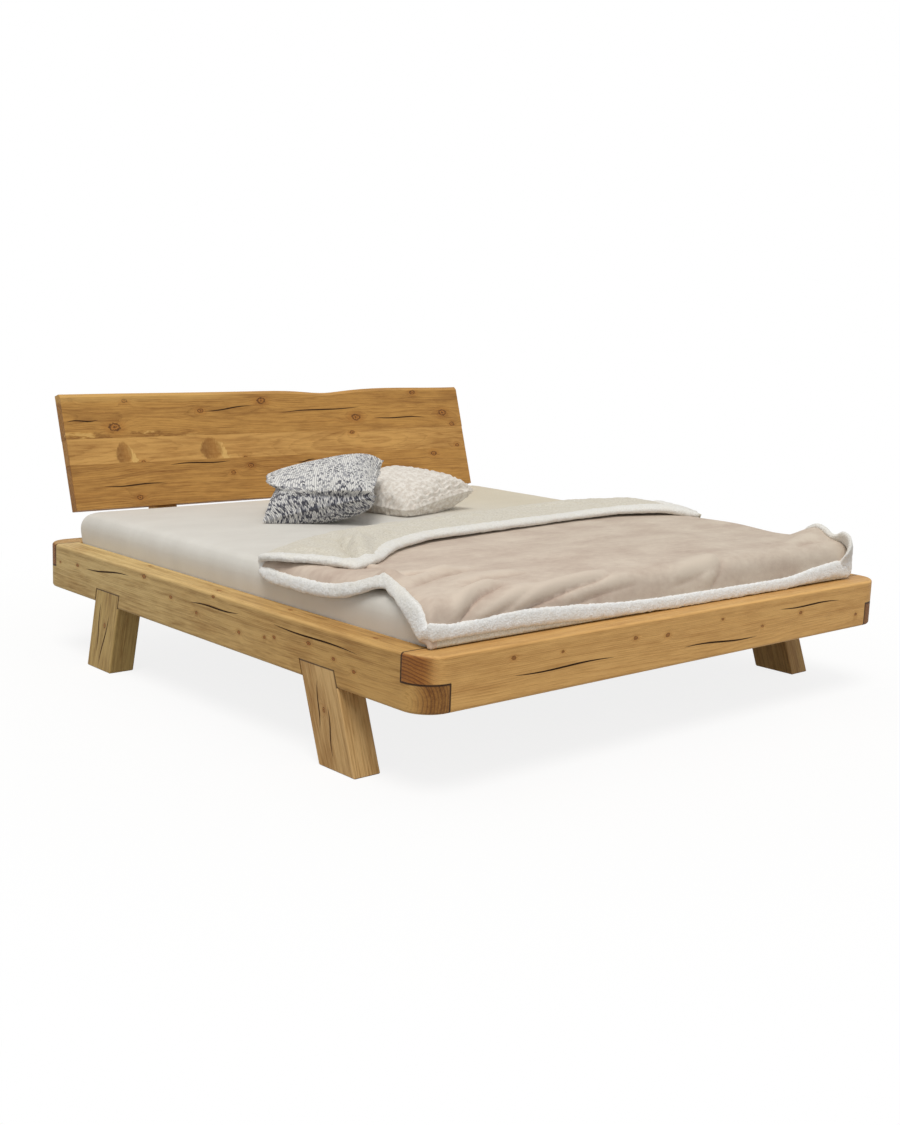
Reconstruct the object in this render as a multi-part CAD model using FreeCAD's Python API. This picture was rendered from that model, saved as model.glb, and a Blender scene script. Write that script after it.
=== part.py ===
import FreeCAD, Part
import math
import os

# Beam bed: four heavy spruce beams half-lapped at rounded corners on four slanted beam legs,
# a leaning headboard with a live top edge, a slatted base, a mattress, a throw and two cushions.
# Millimetres. +X is the bed's right as seen from its foot, +Y runs from foot to head, +Z is up.
# The origin is on the floor under the centre of the whole bed's box.

Vec = FreeCAD.Vector
UP = Vec(0, 0, 1)

# One overrun for every cut, one clearance under every loose piece, one round a glued or bolted piece,
# and how far an edge may lie off the flat and still be eased with its neighbours
overrun = 5.0
rest_gap = 0.3
fit_gap = 0.2
edge_tolerance = 0.5

# Mattress and its sheet
mattress_width = 2000.0
mattress_length = 2000.0
mattress_thickness = 205.0
mattress_corner_round = 80.0
mattress_edge_softness = 60.0
sheet_thickness = 2.0
# each section of the mattress: inset as a share of the edge softness, height as a share of the thickness
mattress_section_shares = (
    (0.25, 0.00),
    (0.00, 0.07),
    (0.00, 0.68),
    (0.10, 0.78),
    (0.36, 0.875),
    (0.95, 0.94),
    (2.60, 0.98),
    (6.00, 1.00),
)
inset_round_share = 0.5

# The frame's four beams
bedding_clearance = 5.0
rail_width = 96.0
rail_height = 164.0
rail_underside = 246.0
corner_radius = 90.0
outer_edge_round = 10.0
inner_edge_round = 4.0
lap_height_share = 0.5
shoulder_gap = 1.5
seam_height = 1.5
seam_depth = 5.0

# Corner bolts, driven up through the lap from below
corner_bolt_diameter = 12.0
corner_bolt_length = 112.0
bolt_head_flats = 19.0
bolt_head_height = 8.0
washer_diameter = 36.0
washer_thickness = 3.0
counterbore_diameter = 40.0
counterbore_depth = 16.0

# Slanted legs: insets are from the end of the bed to the leg's outer edge at the top of its housing
leg_stock_width = 160.0
leg_let_in = 51.0
foot_leg_inset = 392.0
head_leg_inset = 408.0
foot_leg_lean = 20.0
head_leg_lean = 14.0
leg_edge_round = 5.0
leg_foot_chamfer = 3.0
housing_gap = 1.0
leg_dowel_diameter = 20.0
leg_dowel_length = 100.0
leg_dowel_spacing = 80.0

# Headboard: three boards edge to edge, the top one with a live edge, and two posts behind
headboard_width = 2010.0
headboard_thickness = 40.0
bottom_board_height = 173.0
middle_board_height = 99.0
top_board_height = 189.0
headboard_lean = 17.3
headboard_setback = 17.0
headboard_rise = 116.0
board_edge_chamfer = 2.0
live_edge_wave = 20.0
live_edge_bevel_height = 14.0
live_edge_bevel_depth = 9.0
# the live edge: place along the board, then how far the top drops, as a share of the wave
live_edge_shares = (
    (0.00, 0.65),
    (0.12, 0.58),
    (0.25, 0.55),
    (0.43, 0.45),
    (0.55, 0.62),
    (0.615, 1.00),
    (0.67, 0.60),
    (0.73, 0.18),
    (0.82, 0.00),
    (1.00, 0.00),
)

post_spacing = 1200.0
post_width = 96.0
post_thickness = 60.0
post_top_drop = 85.0
post_edge_round = 4.0
tenon_width = 60.0
tenon_thickness = 30.0
tenon_depth = 70.0
peg_diameter = 14.0
peg_drop = 38.0
peg_length = 84.0

# Wood screws: headboard, ledgers and hangers
board_screw_diameter = 6.0
board_screw_head = 12.0
board_screw_bite = 25.0
board_screw_spacing = 50.0
board_screw_sink = 20.0
ledger_screw_diameter = 8.0
ledger_screw_head = 16.0
ledger_screw_bite = 45.0
ledger_screw_count = 6
ledger_screw_margin = 120.0
plate_screw_diameter = 5.0
plate_screw_head = 10.0
plate_screw_head_height = 3.0
plate_screw_length = 38.0

# Slatted base: ledgers on the side rails, slats on two bands
slat_drop = 84.0
slat_count = 16
slat_width = 70.0
slat_thickness = 22.0
slat_end_gap = 4.0
slat_row_margin = 26.0
slat_edge_round = 3.0
band_width = 25.0
band_thickness = 2.0
band_spacing = 1200.0
ledger_width = 40.0
ledger_height = 50.0
ledger_end_gap = 6.0

# Centre beam, its hangers and its leg
beam_width = 60.0
beam_height = 70.0
beam_end_gap = 2.0
hanger_thickness = 3.0
hanger_height = 66.0
hanger_seat = 55.0
hanger_flange = 35.0
hanger_screw_margin = 16.0
centre_leg_width = 56.0
leg_plate_thickness = 4.0
leg_plate_length = 130.0
leg_plate_screw_inset = 14.0
leg_plate_screw_spacing = 34.0
centre_leg_screw_length = 70.0

# Drying checks in the timber
check_depth = 14.0
check_wave = 3.0
check_steps = 8
check_taper_share = 0.7
rail_check_width = 4.0
leg_check_width = 3.5
headboard_check_width = 3.0
# along a beam's face from start to end, then the height at both, as shares of its length and height;
# the left rail's are counted from the head and the foot rail's from the left
side_check_shares = (
    (0.150, 0.290, 0.66, 0.81),
    (0.472, 0.600, 0.68, 0.76),
    (0.683, 0.871, 0.78, 0.72),
)
end_check_shares = (
    (0.152, 0.342, 0.43, 0.41),
    (0.491, 0.664, 0.33, 0.26),
    (0.719, 0.879, 0.73, 0.69),
)
# across the leg and up it at the low end of a check, then the same at its high end
foot_leg_check_shares = (
    (0.76, 0.42, 0.56, 1.02),
    (0.52, 0.15, 0.39, 0.74),
)
head_leg_check_shares = (
    (0.32, 0.25, 0.28, 1.02),
    (0.48, 0.05, 0.68, 0.86),
)
# along the headboard's width from start to end, then the height at both up its three boards
headboard_check_shares = (
    (0.307, 0.428, 0.803, 0.843),
    (0.494, 0.708, 0.774, 0.814),
    (0.742, 0.893, 0.707, 0.692),
    (0.213, 0.354, 0.341, 0.352),
    (0.064, 0.201, 0.186, 0.184),
    (0.006, 0.071, 0.737, 0.746),
    (0.516, 0.567, 0.308, 0.325),
)

# Throw: a plush blanket over the foot half, its head end turned back, its foot end tucked in the frame
throw_thickness = 18.0
throw_hem_gap = 1.0
throw_flare = 22.0
throw_lip = 34.0
throw_lip_drop = 50.0
throw_side_hang = 92.0
throw_slit_height = 9.0
# each section across the bed: its place as a share of half the mattress's width, the head fold and the
# turned-back free edge as shares of half its length, then as shares of the throw's thickness the rise of
# the turned-back part, of the foot end and of two soft folds between them, and the drop at a side edge
throw_section_shares = (
    (-0.98, -0.225, -0.38, 0.3, 0.0, 0.0, 0.1, 0.90),
    (-0.90, -0.185, -0.54, 0.7, 0.0, 0.1, 0.3, 0.25),
    (-0.80, -0.140, -0.48, 0.8, 0.0, 0.3, 0.3, 0.05),
    (-0.62, -0.085, -0.35, 0.8, 0.1, 0.6, 0.1, 0.0),
    (-0.40, -0.067, -0.26, 0.7, 0.0, 0.1, 0.5, 0.0),
    (-0.15, -0.025, -0.215, 0.5, 0.0, 0.7, 0.0, 0.0),
    (0.15, 0.033, -0.19, 0.4, 0.1, 0.1, 0.2, 0.0),
    (0.45, 0.090, -0.17, 0.4, 0.1, 0.5, 0.0, 0.0),
    (0.68, 0.105, -0.19, 0.5, 0.4, -0.1, 0.3, 0.0),
    (0.88, 0.045, -0.26, 1.2, 1.6, -0.3, 0.1, 0.25),
    (1.00, -0.040, -0.33, 2.1, 2.5, -0.5, 0.2, 1.70),
)
# the lip past the left side, outer section first: foot end, head fold and free edge as shares of half
# the mattress's length, the four rises as above, then its top's and hem's drops as shares of the lip's
throw_lip_shares = (
    (-0.700, -0.270, -0.31, -0.6, -0.4, -0.3, -0.3, 0.50, 1.1),
    (-0.735, -0.235, -0.33, 0.0, 0.0, 0.0, 0.0, 0.35, 1.2),
)
# down the right side: what is left of the last section's four rises, and the drop of its top
throw_side_shares = (0.5, 0.6, 0.0, 0.0, 2.6)
# the outline over the foot, as shares of the throw's thickness: how far in and up the shoulder lies, how
# much of the foot's rise it has, how far in the rise is highest; then the two folds' places on the run
throw_shoulder_shares = (0.5, 0.4, 0.5)
throw_rise_place_share = 4.5
throw_fold_place_shares = (0.40, 0.72)
throw_nose_share = 0.8
# the turned-back part: how far its edge leans in, its height in the middle and the middle's rise
throw_back_shares = (0.3, 2.1, 0.6)
# the notch in the left edge and the slit over it, as shares of half the mattress's width and length
throw_notch_shares = (
    (-1.10, -1.02),
    (-0.99, -0.97),
    (-0.86, -0.64),
    (-0.93, -0.67),
    (-1.10, -0.67),
)
throw_slit_shares = (
    (-1.10, -0.42),
    (-1.10, -0.27),
    (-1.00, -0.27),
    (-0.88, -0.44),
    (-0.90, -0.56),
    (-0.96, -0.50),
)

# Cushions: crowned, with drawn-in sides; the grey one leans on the white one
cushion_size = 450.0
cushion_gap = 0.6
white_cushion_thickness = 145.0
grey_cushion_thickness = 165.0
# each level of a cushion: height as a share of half its thickness, then the reach of its corners and of
# the middle of its sides as shares of half its size
cushion_level_shares = (
    (0.00, 1.00, 0.93),
    (0.15, 0.95, 0.925),
    (0.36, 0.87, 0.905),
    (0.58, 0.76, 0.85),
    (0.78, 0.61, 0.72),
    (0.93, 0.40, 0.50),
    (1.00, 0.17, 0.23),
)
# each cushion's middle as shares of half the mattress's width and length, its height over the mattress,
# then its tilts about its own two axes and its turn on plan
white_cushion_place_shares = (0.115, 0.480)
white_cushion_height = 59.0
white_cushion_turns = (2.0, -7.4, 12.0)
grey_cushion_place_shares = (-0.310, 0.410)
grey_cushion_height = 104.0
grey_cushion_turns = (12.0, -15.0, -45.0)

# Sizes worked out from the ones above
inner_width = mattress_width + 2 * bedding_clearance
inner_length = mattress_length + 2 * bedding_clearance
outer_width = inner_width + 2 * rail_width
outer_length = inner_length + 2 * rail_width
half_in_x = inner_width / 2
half_in_y = inner_length / 2
half_out_x = outer_width / 2
half_out_y = outer_length / 2
rail_top = rail_underside + rail_height
lap_level = rail_underside + rail_height * lap_height_share
leg_top = rail_underside + leg_let_in
slat_top = rail_top - slat_drop
slat_bottom = slat_top - slat_thickness
mattress_base = slat_top + rest_gap
mattress_top = mattress_base + mattress_thickness
beam_bottom = slat_bottom - beam_height
board_height = bottom_board_height + middle_board_height + top_board_height

parts = {}


def block(x0, x1, y0, y1, z0, z1):
    """A plain block between two corners."""
    return Part.makeBox(x1 - x0, y1 - y0, z1 - z0, Vec(x0, y0, z0))


def rounded_plan(half_x, half_y, radius, z):
    """A flat rectangle outline with rounded corners, centred on the Y axis."""
    edges = []
    corners = ((1, 1, 0), (-1, 1, 90), (-1, -1, 180), (1, -1, 270))
    ends = []
    for sx, sy, start in corners:
        centre = Vec(sx * (half_x - radius), sy * (half_y - radius), z)
        points = []
        for turn in (0, 45, 90):
            a = math.radians(start + turn)
            points.append(centre + Vec(math.cos(a) * radius, math.sin(a) * radius, 0))
        ends.append(points)
    for i, points in enumerate(ends):
        edges.append(Part.Arc(*points).toShape())
        following = ends[(i + 1) % len(ends)]
        edges.append(Part.LineSegment(points[-1], following[0]).toShape())
    return Part.Wire(edges)


def prism(wire, height):
    """A closed flat outline raised to a solid."""
    return Part.Face(wire).extrude(Vec(0, 0, height))


def outline_prism(points, along):
    """A polygon of corner points pushed along one direction."""
    return Part.Face(Part.makePolygon(points + [points[0]])).extrude(along)


def rod(diameter, start, along):
    """A round bar from a point along a vector."""
    return Part.makeCylinder(diameter / 2, along.Length, start, along)


def flat_head_screw(diameter, head, start, along):
    """A countersunk screw: its flat head lies at the start point, its point at the end of the vector."""
    sink = (head - diameter) / 2
    cone = Part.makeCone(head / 2, diameter / 2, sink, start, along)
    return cone.fuse(rod(diameter, start, along)).removeSplitter()


def button_screw(diameter, head, head_height, length, seat, along):
    """A screw with a low round head that stands on the seat, its shank going along the unit vector."""
    shank = rod(diameter, seat, along * length)
    cap = rod(head, seat, along * -head_height)
    return shank.fuse(cap).removeSplitter()


def check_cutter(start, end, width, outward, wave_sign=1):
    """The lens-shaped slot of a drying check along a face, from start to end, cut inwards."""
    run = end - start
    side = run.cross(outward).normalize()
    upper = []
    lower = []
    for i in range(check_steps + 1):
        share = i / check_steps
        opening = math.sin(math.pi * share) ** check_taper_share * width / 2
        drift = math.sin(2 * math.pi * share) * check_wave * wave_sign
        middle = start + run * share + side * drift + outward * overrun
        upper.append(middle + side * opening)
        if 0 < i < check_steps:
            lower.append(middle - side * opening)
    outline = upper + lower[::-1]
    return outline_prism(outline, outward * -(check_depth + overrun))


# Frame ring, from which the four beams are sawn


def frame_ring():
    """The whole rounded ring of beams with its edges eased, before it is parted at the laps."""
    outer = prism(rounded_plan(half_out_x, half_out_y, corner_radius, rail_underside), rail_height)
    rim = []
    for edge in outer.Edges:
        box = edge.BoundBox
        if box.ZLength < edge_tolerance:
            rim.append(edge)
    outer = outer.makeFillet(outer_edge_round, rim)
    inner = block(
        -half_in_x,
        half_in_x,
        -half_in_y,
        half_in_y,
        rail_underside - overrun,
        rail_top + overrun,
    )
    ring = outer.cut(inner)
    rim = []
    for edge in ring.Edges:
        box = edge.BoundBox
        across = max(abs(box.XMin), abs(box.XMax)) < half_in_x + edge_tolerance
        along = max(abs(box.YMin), abs(box.YMax)) < half_in_y + edge_tolerance
        if across and along and box.ZLength < edge_tolerance and box.ZMin > lap_level:
            rim.append(edge)
    return ring.makeFillet(inner_edge_round, rim)


def side_zone(side):
    """The space of a side rail: its lower half runs to both ends, its upper half stops at the laps."""
    x0, x1 = sorted((side * half_in_x, side * (half_out_x + overrun)))
    low = block(
        x0,
        x1,
        -half_out_y - overrun,
        half_out_y + overrun,
        rail_underside - overrun,
        lap_level,
    )
    reach = half_in_y - shoulder_gap
    high = block(x0, x1, -reach, reach, lap_level, rail_top + overrun)
    return low.fuse(high).removeSplitter()


def end_zone(end):
    """The space of a foot or head rail: its upper half runs to both sides, its lower half stops."""
    y0, y1 = sorted((end * half_in_y, end * (half_out_y + overrun)))
    high = block(
        -half_out_x - overrun,
        half_out_x + overrun,
        y0,
        y1,
        lap_level,
        rail_top + overrun,
    )
    reach = half_in_x - shoulder_gap
    low = block(-reach, reach, y0, y1, rail_underside - overrun, lap_level)
    return high.fuse(low).removeSplitter()


def lap_seams(end):
    """The open joint line round the outside of both laps at one end, under the upper halves."""
    full = prism(rounded_plan(half_out_x + overrun, half_out_y + overrun, corner_radius, lap_level), seam_height)
    core = prism(
        rounded_plan(
            half_out_x - seam_depth,
            half_out_y - seam_depth,
            corner_radius - seam_depth,
            lap_level - overrun,
        ),
        seam_height + 2 * overrun,
    )
    band = full.cut(core)
    y0, y1 = sorted((end * half_in_y, end * (half_out_y + overrun)))
    seams = []
    for side in (-1, 1):
        x0, x1 = sorted((side * half_in_x, side * (half_out_x + overrun)))
        seams.append(band.common(block(x0, x1, y0, y1, lap_level, lap_level + seam_height)))
    return seams


# Slanted legs with their housings and dowels


def leg_values(end):
    """Inset and lean of the legs at the foot (-1) or the head (1) of the bed."""
    if end < 0:
        return foot_leg_inset, math.radians(foot_leg_lean)
    return head_leg_inset, math.radians(head_leg_lean)


def leg_outline(end, x, z_low, z_high, grow):
    """The leg's slanted outline in the side face's plane between two heights."""
    inset, slant = leg_values(end)
    width = leg_stock_width / math.cos(slant)
    top_outer = end * (half_out_y - inset)
    points = []
    for z, edge in ((z_low, 0), (z_low, 1), (z_high, 1), (z_high, 0)):
        outward = end * (leg_top - z) * math.tan(slant)
        spread = grow if edge == 0 else -grow
        y = top_outer - end * edge * width + outward + end * spread
        points.append(Vec(x, y, z))
    return points


def leg(side, end):
    """One slanted leg with eased edges, standing flat on the floor."""
    x = half_out_x if side > 0 else -half_in_x
    solid = outline_prism(leg_outline(end, x, 0.0, leg_top, 0.0), Vec(-rail_width, 0, 0))
    slanted = [e for e in solid.Edges if e.BoundBox.ZLength > leg_let_in]
    solid = solid.makeFillet(leg_edge_round, slanted)
    feet = [e for e in solid.Edges if e.BoundBox.ZMax < edge_tolerance]
    return solid.makeChamfer(leg_foot_chamfer, feet)


def leg_housing(side, end):
    """The slanted slot in the rail's underside that takes the head of a leg."""
    x = (half_out_x if side > 0 else -half_in_x) + overrun
    points = leg_outline(end, x, rail_underside - overrun, leg_top, housing_gap)
    return outline_prism(points, Vec(-rail_width - 2 * overrun, 0, 0))


def leg_dowels(side, end, grow):
    """Two upright dowels between the head of a leg and its rail."""
    inset, slant = leg_values(end)
    width = leg_stock_width / math.cos(slant)
    centre_y = end * (half_out_y - inset - width / 2)
    x = side * (half_in_x + rail_width / 2)
    pair = []
    for sign in (-1, 1):
        y = centre_y + sign * leg_dowel_spacing / 2
        start = Vec(x, y, leg_top - leg_dowel_length / 2 - grow)
        pair.append(rod(leg_dowel_diameter + 2 * grow, start, UP * (leg_dowel_length + 2 * grow)))
    return pair


# Corner bolts


def corner_place(side, end, z):
    return Vec(side * (half_in_x + rail_width / 2), end * (half_in_y + rail_width / 2), z)


def corner_bolt(side, end):
    """A hexagon-headed bolt whose head lies in the counterbore under a corner."""
    seat = corner_place(side, end, rail_underside + counterbore_depth - washer_thickness)
    shank = rod(corner_bolt_diameter, seat, UP * (corner_bolt_length + washer_thickness))
    reach = bolt_head_flats / math.sqrt(3)
    points = []
    for i in range(6):
        a = math.radians(60 * i)
        points.append(seat + Vec(math.cos(a) * reach, math.sin(a) * reach, 0))
    head = outline_prism(points, Vec(0, 0, -bolt_head_height))
    return shank.fuse(head).removeSplitter()


def corner_washer(side, end):
    seat = corner_place(side, end, rail_underside + counterbore_depth - washer_thickness)
    disc = rod(washer_diameter, seat, UP * washer_thickness)
    return disc.cut(rod(corner_bolt_diameter + 2 * fit_gap, seat, UP * washer_thickness))


def corner_bore(side, end):
    """The counterbore and the bolt's hole in one corner."""
    mouth = corner_place(side, end, rail_underside - overrun)
    wide = rod(counterbore_diameter, mouth, UP * (counterbore_depth + overrun))
    bottom = corner_place(side, end, rail_underside)
    depth = counterbore_depth + corner_bolt_length + fit_gap
    narrow = rod(corner_bolt_diameter + 2 * fit_gap, bottom, UP * depth)
    return wide.fuse(narrow)


# Headboard, drawn flat and then leaned: x along the bed's width, y away from the bed, z up the board


def lean_back(shape):
    """Lean a flat-drawn headboard piece about the lower front edge and set it over the head rail."""
    shape = shape.copy()
    shape.rotate(Vec(0, 0, 0), Vec(1, 0, 0), -headboard_lean)
    shape.translate(Vec(0, half_in_y + headboard_setback, rail_top + headboard_rise))
    return shape


def plain_board(z0, height):
    """A straight board with eased ends."""
    half = headboard_width / 2
    board = block(-half, half, 0.0, headboard_thickness, z0, z0 + height)
    ends = [e for e in board.Edges if e.BoundBox.XLength < edge_tolerance]
    return board.makeChamfer(board_edge_chamfer, ends)


def live_outline(depth, drop):
    """The top board's outline at one depth, its live edge lowered by a drop."""
    half = headboard_width / 2
    z0 = bottom_board_height + middle_board_height
    z1 = z0 + top_board_height - drop
    points = []
    for along, fall in live_edge_shares:
        points.append(Vec(-half + headboard_width * along, depth, z1 - fall * live_edge_wave))
    curve = Part.BSplineCurve()
    curve.interpolate(points)
    low_left = Vec(-half, depth, z0)
    low_right = Vec(half, depth, z0)
    return Part.Wire(
        [
            Part.LineSegment(points[0], low_left).toShape(),
            Part.LineSegment(low_left, low_right).toShape(),
            Part.LineSegment(low_right, points[-1]).toShape(),
            curve.toShape(),
        ]
    )


def live_board():
    """The top board, whose live edge is bevelled towards the bed."""
    outlines = [
        live_outline(0.0, live_edge_bevel_height),
        live_outline(live_edge_bevel_depth, 0.0),
        live_outline(headboard_thickness, 0.0),
    ]
    return Part.makeLoft(outlines, True, True)


def post(side):
    """A post behind the boards: a shoulder on the head rail's top and a tenon into it."""
    x = side * post_spacing / 2
    body = block(
        x - post_width / 2,
        x + post_width / 2,
        headboard_thickness,
        headboard_thickness + post_thickness,
        -(headboard_rise + rail_height),
        board_height - post_top_drop,
    )
    long_edges = [e for e in body.Edges if e.BoundBox.ZLength > post_width]
    body = lean_back(body.makeFillet(post_edge_round, long_edges))
    body = body.cut(head_space(rail_underside - rail_height, rail_top))
    return body.fuse(tenon_bar(side, 0.0)).removeSplitter()


def tenon_bar(side, grow):
    """The slanted bar of a post's tenon, or of its mortise when grown, up to just over the rail's top."""
    x = side * post_spacing / 2
    middle = headboard_thickness + post_thickness / 2
    bar = block(
        x - tenon_width / 2 - grow,
        x + tenon_width / 2 + grow,
        middle - tenon_thickness / 2 - grow,
        middle + tenon_thickness / 2 + grow,
        -(headboard_rise + rail_height),
        0.0,
    )
    return lean_back(bar).common(head_space(rail_top - tenon_depth - grow, rail_top + overrun))


def head_space(z0, z1):
    """A slab over the head of the bed between two heights."""
    return block(
        -half_out_x,
        half_out_x,
        half_in_y - rail_width,
        half_out_y + rail_width,
        z0,
        z1,
    )


def post_peg(side, grow):
    """A peg driven from the back of the head rail through a tenon."""
    start = Vec(side * post_spacing / 2, half_out_y, rail_top - peg_drop)
    return rod(peg_diameter + 2 * grow, start, Vec(0, -(peg_length + grow), 0))


def board_screw_places():
    """Where the screws through the posts sit: two in each board at each post, in the flat drawing."""
    levels = (
        bottom_board_height / 2,
        bottom_board_height + middle_board_height / 2,
        bottom_board_height + middle_board_height + (top_board_height - post_top_drop) / 2,
    )
    head_depth = headboard_thickness + post_thickness - board_screw_sink
    places = []
    for side in (-1, 1):
        for level in levels:
            for sign in (-1, 1):
                x = side * post_spacing / 2 + sign * board_screw_spacing / 2
                places.append(Vec(x, head_depth, level))
    return places


def board_screws():
    """The screws themselves, their heads sunk in the posts."""
    reach = post_thickness - board_screw_sink + board_screw_bite
    screws = []
    for place in board_screw_places():
        screw = flat_head_screw(board_screw_diameter, board_screw_head, place, Vec(0, -reach, 0))
        screws.append(lean_back(screw))
    return screws


def board_screw_bores():
    """The sunk holes behind the screw heads, out through the back of the posts."""
    bores = []
    for place in board_screw_places():
        bores.append(lean_back(rod(board_screw_head, place, Vec(0, board_screw_sink + overrun, 0))))
    return bores


# Slatted base


def ledger(side):
    """The strip on the inside of a side rail that carries the slats."""
    x0, x1 = sorted((side * half_in_x, side * (half_in_x - ledger_width)))
    reach = half_in_y - ledger_end_gap
    return block(x0, x1, -reach, reach, slat_bottom - ledger_height, slat_bottom)


def ledger_screws(side):
    """Screws through a ledger into its rail, level along the strip."""
    reach = half_in_y - ledger_end_gap - ledger_screw_margin
    pitch = 2 * reach / (ledger_screw_count - 1)
    screws = []
    for i in range(ledger_screw_count):
        start = Vec(side * (half_in_x - ledger_width), -reach + pitch * i, slat_bottom - ledger_height / 2)
        along = Vec(side * (ledger_width + ledger_screw_bite), 0, 0)
        screws.append(flat_head_screw(ledger_screw_diameter, ledger_screw_head, start, along))
    return screws


def slat(index):
    """One slat across the bed, numbered from the foot."""
    first = -half_in_y + slat_row_margin
    pitch = (inner_length - 2 * slat_row_margin - slat_width) / (slat_count - 1)
    y = first + pitch * index
    reach = half_in_x - slat_end_gap
    bar = block(-reach, reach, y, y + slat_width, slat_bottom + rest_gap, slat_top)
    long_edges = [e for e in bar.Edges if e.BoundBox.XLength > slat_width]
    return bar.makeFillet(slat_edge_round, long_edges)


def slat_band(side):
    """A woven band fixed under all the slats."""
    x = side * band_spacing / 2
    reach = half_in_y - slat_row_margin
    top = slat_bottom + rest_gap
    return block(x - band_width / 2, x + band_width / 2, -reach, reach, top - band_thickness, top)


# Centre beam


def centre_beam():
    reach = half_in_y - beam_end_gap
    return block(-beam_width / 2, beam_width / 2, -reach, reach, beam_bottom, slat_bottom)


def beam_hanger(end):
    """A folded steel shoe on an end rail that holds one end of the centre beam."""
    face = half_in_y
    half = beam_width / 2
    t = hanger_thickness
    outline = []
    for x, y in (
        (-half - hanger_flange, face),
        (-half, face),
        (-half, face - hanger_seat),
        (half, face - hanger_seat),
        (half, face),
        (half + hanger_flange, face),
        (half + hanger_flange, face - t),
        (half + t, face - t),
        (half + t, face - hanger_seat - t),
        (-half - t, face - hanger_seat - t),
        (-half - t, face - t),
        (-half - hanger_flange, face - t),
    ):
        outline.append(Vec(x, y * end, beam_bottom))
    # the shoe's cheeks and flanges, then the open front for the beam, then the seat under it
    cheeks = outline_prism(outline, Vec(0, 0, hanger_height))
    y0, y1 = sorted((end * (face - hanger_seat - t - overrun), end * (face - hanger_seat + overrun)))
    cheeks = cheeks.cut(block(-half, half, y0, y1, beam_bottom - overrun, slat_bottom))
    y0, y1 = sorted((end * face, end * (face - hanger_seat)))
    seat = block(-half - t, half + t, y0, y1, beam_bottom - t, beam_bottom)
    return cheeks.fuse(seat).removeSplitter()


def hanger_screws(end):
    """Four screws that fix a hanger's flanges to its rail."""
    screws = []
    seat_y = end * (half_in_y - hanger_thickness)
    for side in (-1, 1):
        x = side * (beam_width / 2 + hanger_thickness + (hanger_flange - hanger_thickness) / 2)
        for z in (beam_bottom + hanger_screw_margin, beam_bottom + hanger_height - hanger_screw_margin):
            screws.append(
                button_screw(
                    plate_screw_diameter,
                    plate_screw_head,
                    plate_screw_head_height,
                    plate_screw_length,
                    Vec(x, seat_y, z),
                    Vec(0, end, 0),
                )
            )
    return screws


def centre_leg():
    half = centre_leg_width / 2
    return block(-half, half, -half, half, 0.0, beam_bottom - leg_plate_thickness)


def leg_plate():
    """The steel plate between the centre leg and the centre beam."""
    half = beam_width / 2
    return block(
        -half,
        half,
        -leg_plate_length / 2,
        leg_plate_length / 2,
        beam_bottom - leg_plate_thickness,
        beam_bottom,
    )


def leg_plate_screws():
    """Four screws up through the plate's ends into the centre beam."""
    screws = []
    for end in (-1, 1):
        y = end * (leg_plate_length / 2 - leg_plate_screw_inset)
        for sign in (-1, 1):
            seat = Vec(sign * leg_plate_screw_spacing / 2, y, beam_bottom - leg_plate_thickness)
            screws.append(
                button_screw(
                    plate_screw_diameter,
                    plate_screw_head,
                    plate_screw_head_height,
                    plate_screw_length,
                    seat,
                    UP,
                )
            )
    return screws


def centre_leg_screw():
    """A countersunk screw down through the plate into the centre leg."""
    return flat_head_screw(
        ledger_screw_diameter,
        ledger_screw_head,
        Vec(0, 0, beam_bottom),
        Vec(0, 0, -centre_leg_screw_length),
    )


# Rails


def build_frame():
    ring = frame_ring()
    bores = [corner_bore(side, end) for side in (-1, 1) for end in (-1, 1)]
    sides = {"left": -1, "right": 1}
    ends = {"foot": -1, "head": 1}
    hanger_fixings = {end: hanger_screws(end) for end in ends.values()}
    for name, side in sides.items():
        rail = ring.common(side_zone(side))
        tools = list(bores)
        tools += [leg_housing(side, end) for end in ends.values()]
        for end in ends.values():
            tools += leg_dowels(side, end, fit_gap)
        tools += ledger_screws(side)
        tools += side_checks(side)
        parts["side_rail_" + name] = rail.cut(tools)
    for name, end in ends.items():
        rail = ring.common(end_zone(end))
        tools = list(bores) + lap_seams(end) + hanger_fixings[end] + end_checks(end)
        if end > 0:
            tools += [tenon_bar(side, fit_gap) for side in (-1, 1)]
            tools += [post_peg(side, fit_gap) for side in (-1, 1)]
        parts[name + "_rail"] = rail.cut(tools)
    for name, side in sides.items():
        for end_name, end in ends.items():
            solid = leg(side, end).cut(leg_dowels(side, end, fit_gap) + leg_checks(side, end))
            parts[end_name + "_leg_" + name] = solid
    dowels = []
    for side in (-1, 1):
        for end in (-1, 1):
            dowels += leg_dowels(side, end, 0.0)
    parts["leg_dowels"] = Part.makeCompound(dowels)
    places = [(side, end) for side in (-1, 1) for end in (-1, 1)]
    parts["corner_bolts"] = Part.makeCompound([corner_bolt(*place) for place in places])
    parts["corner_washers"] = Part.makeCompound([corner_washer(*place) for place in places])


def side_checks(side):
    """Drying checks in the outer face of a side rail."""
    cutters = []
    for i, (y0, y1, z0, z1) in enumerate(side_check_shares):
        x = side * half_out_x
        start = Vec(x, side * outer_length * (y0 - 0.5), rail_underside + rail_height * z0)
        end = Vec(x, side * outer_length * (y1 - 0.5), rail_underside + rail_height * z1)
        cutters.append(check_cutter(start, end, rail_check_width, Vec(side, 0, 0), (-1) ** i))
    return cutters


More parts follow.
